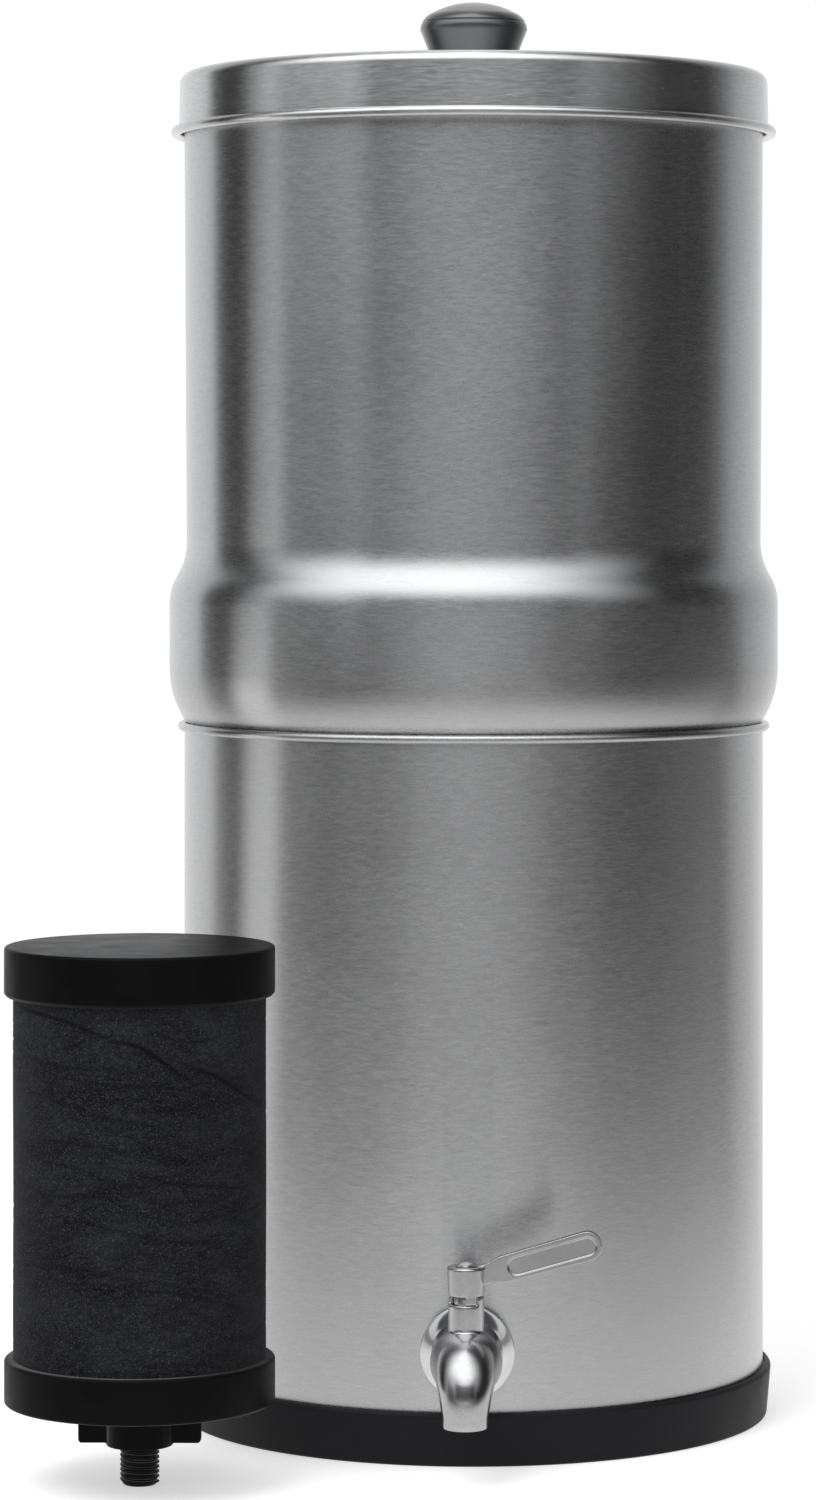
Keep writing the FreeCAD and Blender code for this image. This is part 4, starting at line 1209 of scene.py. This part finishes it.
# What the metal reflects, by the direction in degrees to the right of the front: the tent low down
# and high up, and the floor far from the filter
TENT_LOW = (
    (-180, 0.95), (-157, 0.84), (-136, 0.76), (-125, 0.66), (-119, 0.10), (-112, 0.02),
    (-100, 0.02), (-94, 0.22), (-83, 0.44), (-76, 0.14), (-55, 0.10), (-38, 0.30), (-17, 0.72),
    (0, 0.80), (18, 0.60), (35, 0.22), (52, 0.02), (70, 0.02), (85, 0.02), (103, 0.02),
    (113, 0.14), (125, 0.40), (139, 0.55), (153, 0.66), (180, 0.95),
)
TENT_HIGH = (
    (-180, 0.95), (-125, 0.30), (-108, 0.04), (-98, 0.30), (-90, 0.75), (-76, 1.6), (-55, 1.95),
    (-17, 2.0), (0, 2.0), (18, 1.9), (35, 1.6), (52, 1.1), (70, 0.45), (82, 0.03), (108, 0.03),
    (150, 0.5), (180, 0.95),
)
FLOOR_FAR = (
    (-180, 0.9), (-136, 0.75), (-125, 0.70), (-115, 0.36), (-104, 0.15), (-94, 0.95), (-83, 0.90),
    (-76, 0.28), (-55, 0.11), (-38, 0.12), (-17, 0.24), (0, 0.30), (18, 0.26), (35, 0.15),
    (52, 0.09), (70, 0.10), (85, 0.17), (103, 0.26), (113, 0.22), (125, 0.45), (139, 0.60),
    (153, 0.75), (180, 0.9),
)
BRIGHTEST = 2.0
TENT_MIDDLE = 0.3
FLOOR_NEAR_TONE = 0.84
FLOOR_GLOW = 0.50
FLAG_SHADE = 0.12
WHITE = (1, 1, 1, 1)


@node_group("Tent Tone", "Shader", (("Place", "Vector"), ("Lift", "Float", 0.0)),
            (("Tone", "Float"), ("Ground", "Float")))
def tent_tone(wires, given):
    """The tent's and the far floor's tone by direction. A ramp ends at 1, and the brightest tone
    passes it, so the ramps hold shares of the brightest."""
    x, y, _ = wires.axes(given["Place"])
    angle = wires.math("ARCTAN2", x, wires.times(y, -1.0))
    turn = wires.span(angle, -math.pi, math.pi)
    low, high, ground = (
        wires.ramp(turn, [((azimuth + 180) / 360, tone / BRIGHTEST) for azimuth, tone in table])
        for table in (TENT_LOW, TENT_HIGH, FLOOR_FAR)
    )
    tone = wires.mix(given["Lift"], low, high)
    return wires.times(tone, BRIGHTEST), wires.times(ground, BRIGHTEST)


def bare_material(name):
    """A material without a shader: its wires, the object's coordinates and the surface socket."""
    made = bpy.data.materials.new(name)
    made.use_nodes = True
    nodes = made.node_tree.nodes
    nodes.remove(nodes["Principled BSDF"])
    wires = Wires(made.node_tree)
    place = wires.node("TexCoord").outputs["Object"]
    return made, wires, place, nodes["Material Output"].inputs["Surface"]


def tent_material():
    """The tent, with a dark flag in front of the tap."""
    made, wires, place, surface = bare_material("Studio tent")
    x, y, z = wires.axes(place)
    reach = wires.length(place)
    rise = wires.math("DIVIDE", wires.math("SUBTRACT", z, TENT_MIDDLE), reach)
    side = wires.math("ABSOLUTE", wires.math("DIVIDE", x, reach))
    flag = wires.times(wires.span(rise, 0.015, 0.05, smooth=True),
                       wires.span(rise, 0.52, 0.38, smooth=True))
    flag = wires.times(flag, wires.span(side, 0.72, 0.55, smooth=True))
    flag = wires.times(flag, wires.span(y, 0.0, -0.5))
    lift = wires.span(rise, 0.10, 0.72, smooth=True)
    tone = wires.group(tent_tone(), Place=place, Lift=lift)["Tone"]
    lit = wires.times(tone, wires.span(flag, 0.0, 1.0, 1.0, FLAG_SHADE))
    glow = wires.node("Emission", {"Strength": lit, "Color": (0.965, 0.98, 1.0, 1)})
    wires.feed(glow.outputs["Emission"], surface)
    return made


def floor_material():
    """A pale floor that the camera sees as the white ground, with the filter's shadow on it."""
    made, wires, place, surface = bare_material("Pale floor")
    flat = wires.length(wires.stretch(place, (1, 1, 0)))
    speck = wires.noise(place, 900.0, 2.0)
    paint = wires.mix(speck, (0.86, 0.86, 0.87, 1), (0.90, 0.90, 0.905, 1))
    matt = wires.node("BsdfDiffuse", {"Color": paint}).outputs["BSDF"]
    glow = wires.node("Emission", {"Color": WHITE, "Strength": FLOOR_GLOW})
    near = wires.node("AddShader")
    wires.feed(matt, near.inputs[0])
    wires.feed(glow.outputs["Emission"], near.inputs[1])
    white = wires.node("Emission", {"Color": WHITE, "Strength": 1.0})
    seen = wires.mix_shaders(wires.span(flat, 0.45, 1.1, smooth=True), near.outputs["Shader"],
                             white.outputs["Emission"])
    far = wires.span(flat, 0.22, 0.85, smooth=True)
    ground = wires.group(tent_tone(), Place=place, Lift=0.0)["Ground"]
    mirrored = wires.node("Emission", {
        "Color": wires.mix(far, shade((FLOOR_NEAR_TONE,) * 3, 1), ground)})
    path = wires.node("LightPath").outputs
    glossy = wires.math("MAXIMUM", path["Is Glossy Ray"], path["Is Transmission Ray"])
    seen = wires.mix_shaders(glossy, seen, mirrored.outputs["Emission"])
    wires.feed(wires.mix_shaders(path["Is Diffuse Ray"], seen, matt), surface)
    return made


def world_light():
    """Even light on the pieces, and white where the camera or a reflection sees past the floor."""
    world = bpy.data.worlds.new("Studio")
    world.use_nodes = True
    wires = Wires(world.node_tree)
    path = wires.node("LightPath").outputs
    seen = wires.math("MAXIMUM", path["Is Camera Ray"],
                      wires.math("MAXIMUM", path["Is Glossy Ray"], path["Is Transmission Ray"]))
    strength = wires.span(seen, 0.0, 1.0, settings().stage.ambient, 1.0)
    back = world.node_tree.nodes["Background"]
    wires.feed_all(back.inputs, {"Strength": strength, "Color": WHITE})
    bpy.context.scene.world = world


def floor_object(half):
    corners = [(-half, -half, 0), (half, -half, 0), (half, half, 0), (-half, half, 0)]
    mesh = bpy.data.meshes.new("floor")
    mesh.from_pydata(corners, [], [(0, 1, 2, 3)])
    mesh.materials.append(floor_material())
    return linked("floor", mesh)


def tent_object(radius):
    """A half sphere round the stage that only reflections see."""
    mesh = bpy.data.meshes.new("tent")
    with editing(mesh) as work:
        bmesh.ops.create_uvsphere(work, u_segments=96, v_segments=48, radius=radius)
        below = [spot for spot in work.verts if spot.co.z < -0.02]
        bmesh.ops.delete(work, geom=below, context="VERTS")
        bmesh.ops.reverse_faces(work, faces=work.faces)
    mesh.materials.append(tent_material())
    tent = linked("tent", mesh)
    tent.visible_camera = False
    tent.visible_diffuse = False
    tent.visible_shadow = False
    tent.visible_volume_scatter = False
    return tent


class FILTER_OT_stage(Operator):
    """Makes the floor, the light and the camera"""

    bl_idname = "filter.stage"
    bl_label = "Stage"

    def execute(self, context):
        scene, stage = context.scene, settings().stage
        floor, tent = floor_object(stage.floor), tent_object(stage.tent)
        world_light()

        lamp = bpy.data.lights.new("key", "AREA")
        lamp.energy = stage.key
        lamp.shape = "DISK"
        lamp.size = LAMP_WIDTH
        key = linked("key", lamp)
        key.location = LAMP_PLACE
        aim = Vector(LAMP_AIM) - key.location
        key.rotation_euler = aim.to_track_quat("-Z", "Y").to_euler()
        key.visible_glossy = False

        eye = bpy.data.cameras.new("camera")
        eye.lens = CAMERA_LENS
        eye.sensor_width = CAMERA_SENSOR
        eye.shift_x, eye.shift_y = CAMERA_SHIFT
        camera = linked("camera", eye)
        turn = math.radians(CAMERA_TURN)
        camera.location = (CAMERA_DISTANCE * math.sin(turn), -CAMERA_DISTANCE * math.cos(turn),
                           CAMERA_HEIGHT)
        camera.rotation_euler = (math.radians(90), 0, turn)
        scene.camera = camera
        scene.view_settings.view_transform = "Standard"
        return {"FINISHED"}


OPERATORS = (
    FILTER_OT_base, FILTER_OT_lower_chamber, FILTER_OT_upper_chamber, FILTER_OT_lid,
    FILTER_OT_tap_seat, FILTER_OT_tap, FILTER_OT_lever, FILTER_OT_hole_plug,
    FILTER_OT_cartridges, FILTER_OT_stage,
)


class FILTER_PT_panel(Panel):
    """Lists the filter's pieces and settings"""

    bl_idname = "FILTER_PT_panel"
    bl_label = "Gravity Filter"
    bl_space_type = "VIEW_3D"
    bl_region_type = "UI"
    bl_category = "Filter"

    def draw(self, context):
        column = self.layout.column(align=True)
        for operator in OPERATORS:
            column.operator(operator.bl_idname)
        for name in FilterSettings.__annotations__:
            group = getattr(context.scene.gravity_filter, name)
            box = self.layout.box()
            box.label(text=name.capitalize())
            for label in group.__annotations__:
                box.prop(group, label)


CLASSES = (
    SteelSettings, TapSettings, PlasticSettings, ShapeSettings, StageSettings, FilterSettings,
    *OPERATORS, FILTER_PT_panel,
)


def register():
    for cls in CLASSES:
        bpy.utils.register_class(cls)
    bpy.types.Scene.gravity_filter = PointerProperty(
        type=FilterSettings, name="Gravity filter", description="Settings of the filter")


def unregister():
    del bpy.types.Scene.gravity_filter
    for cls in reversed(CLASSES):
        bpy.utils.unregister_class(cls)


def main():
    register()
    for operator in OPERATORS:
        family, name = operator.bl_idname.split(".")
        getattr(getattr(bpy.ops, family), name)()


if __name__ == "__main__":
    main()
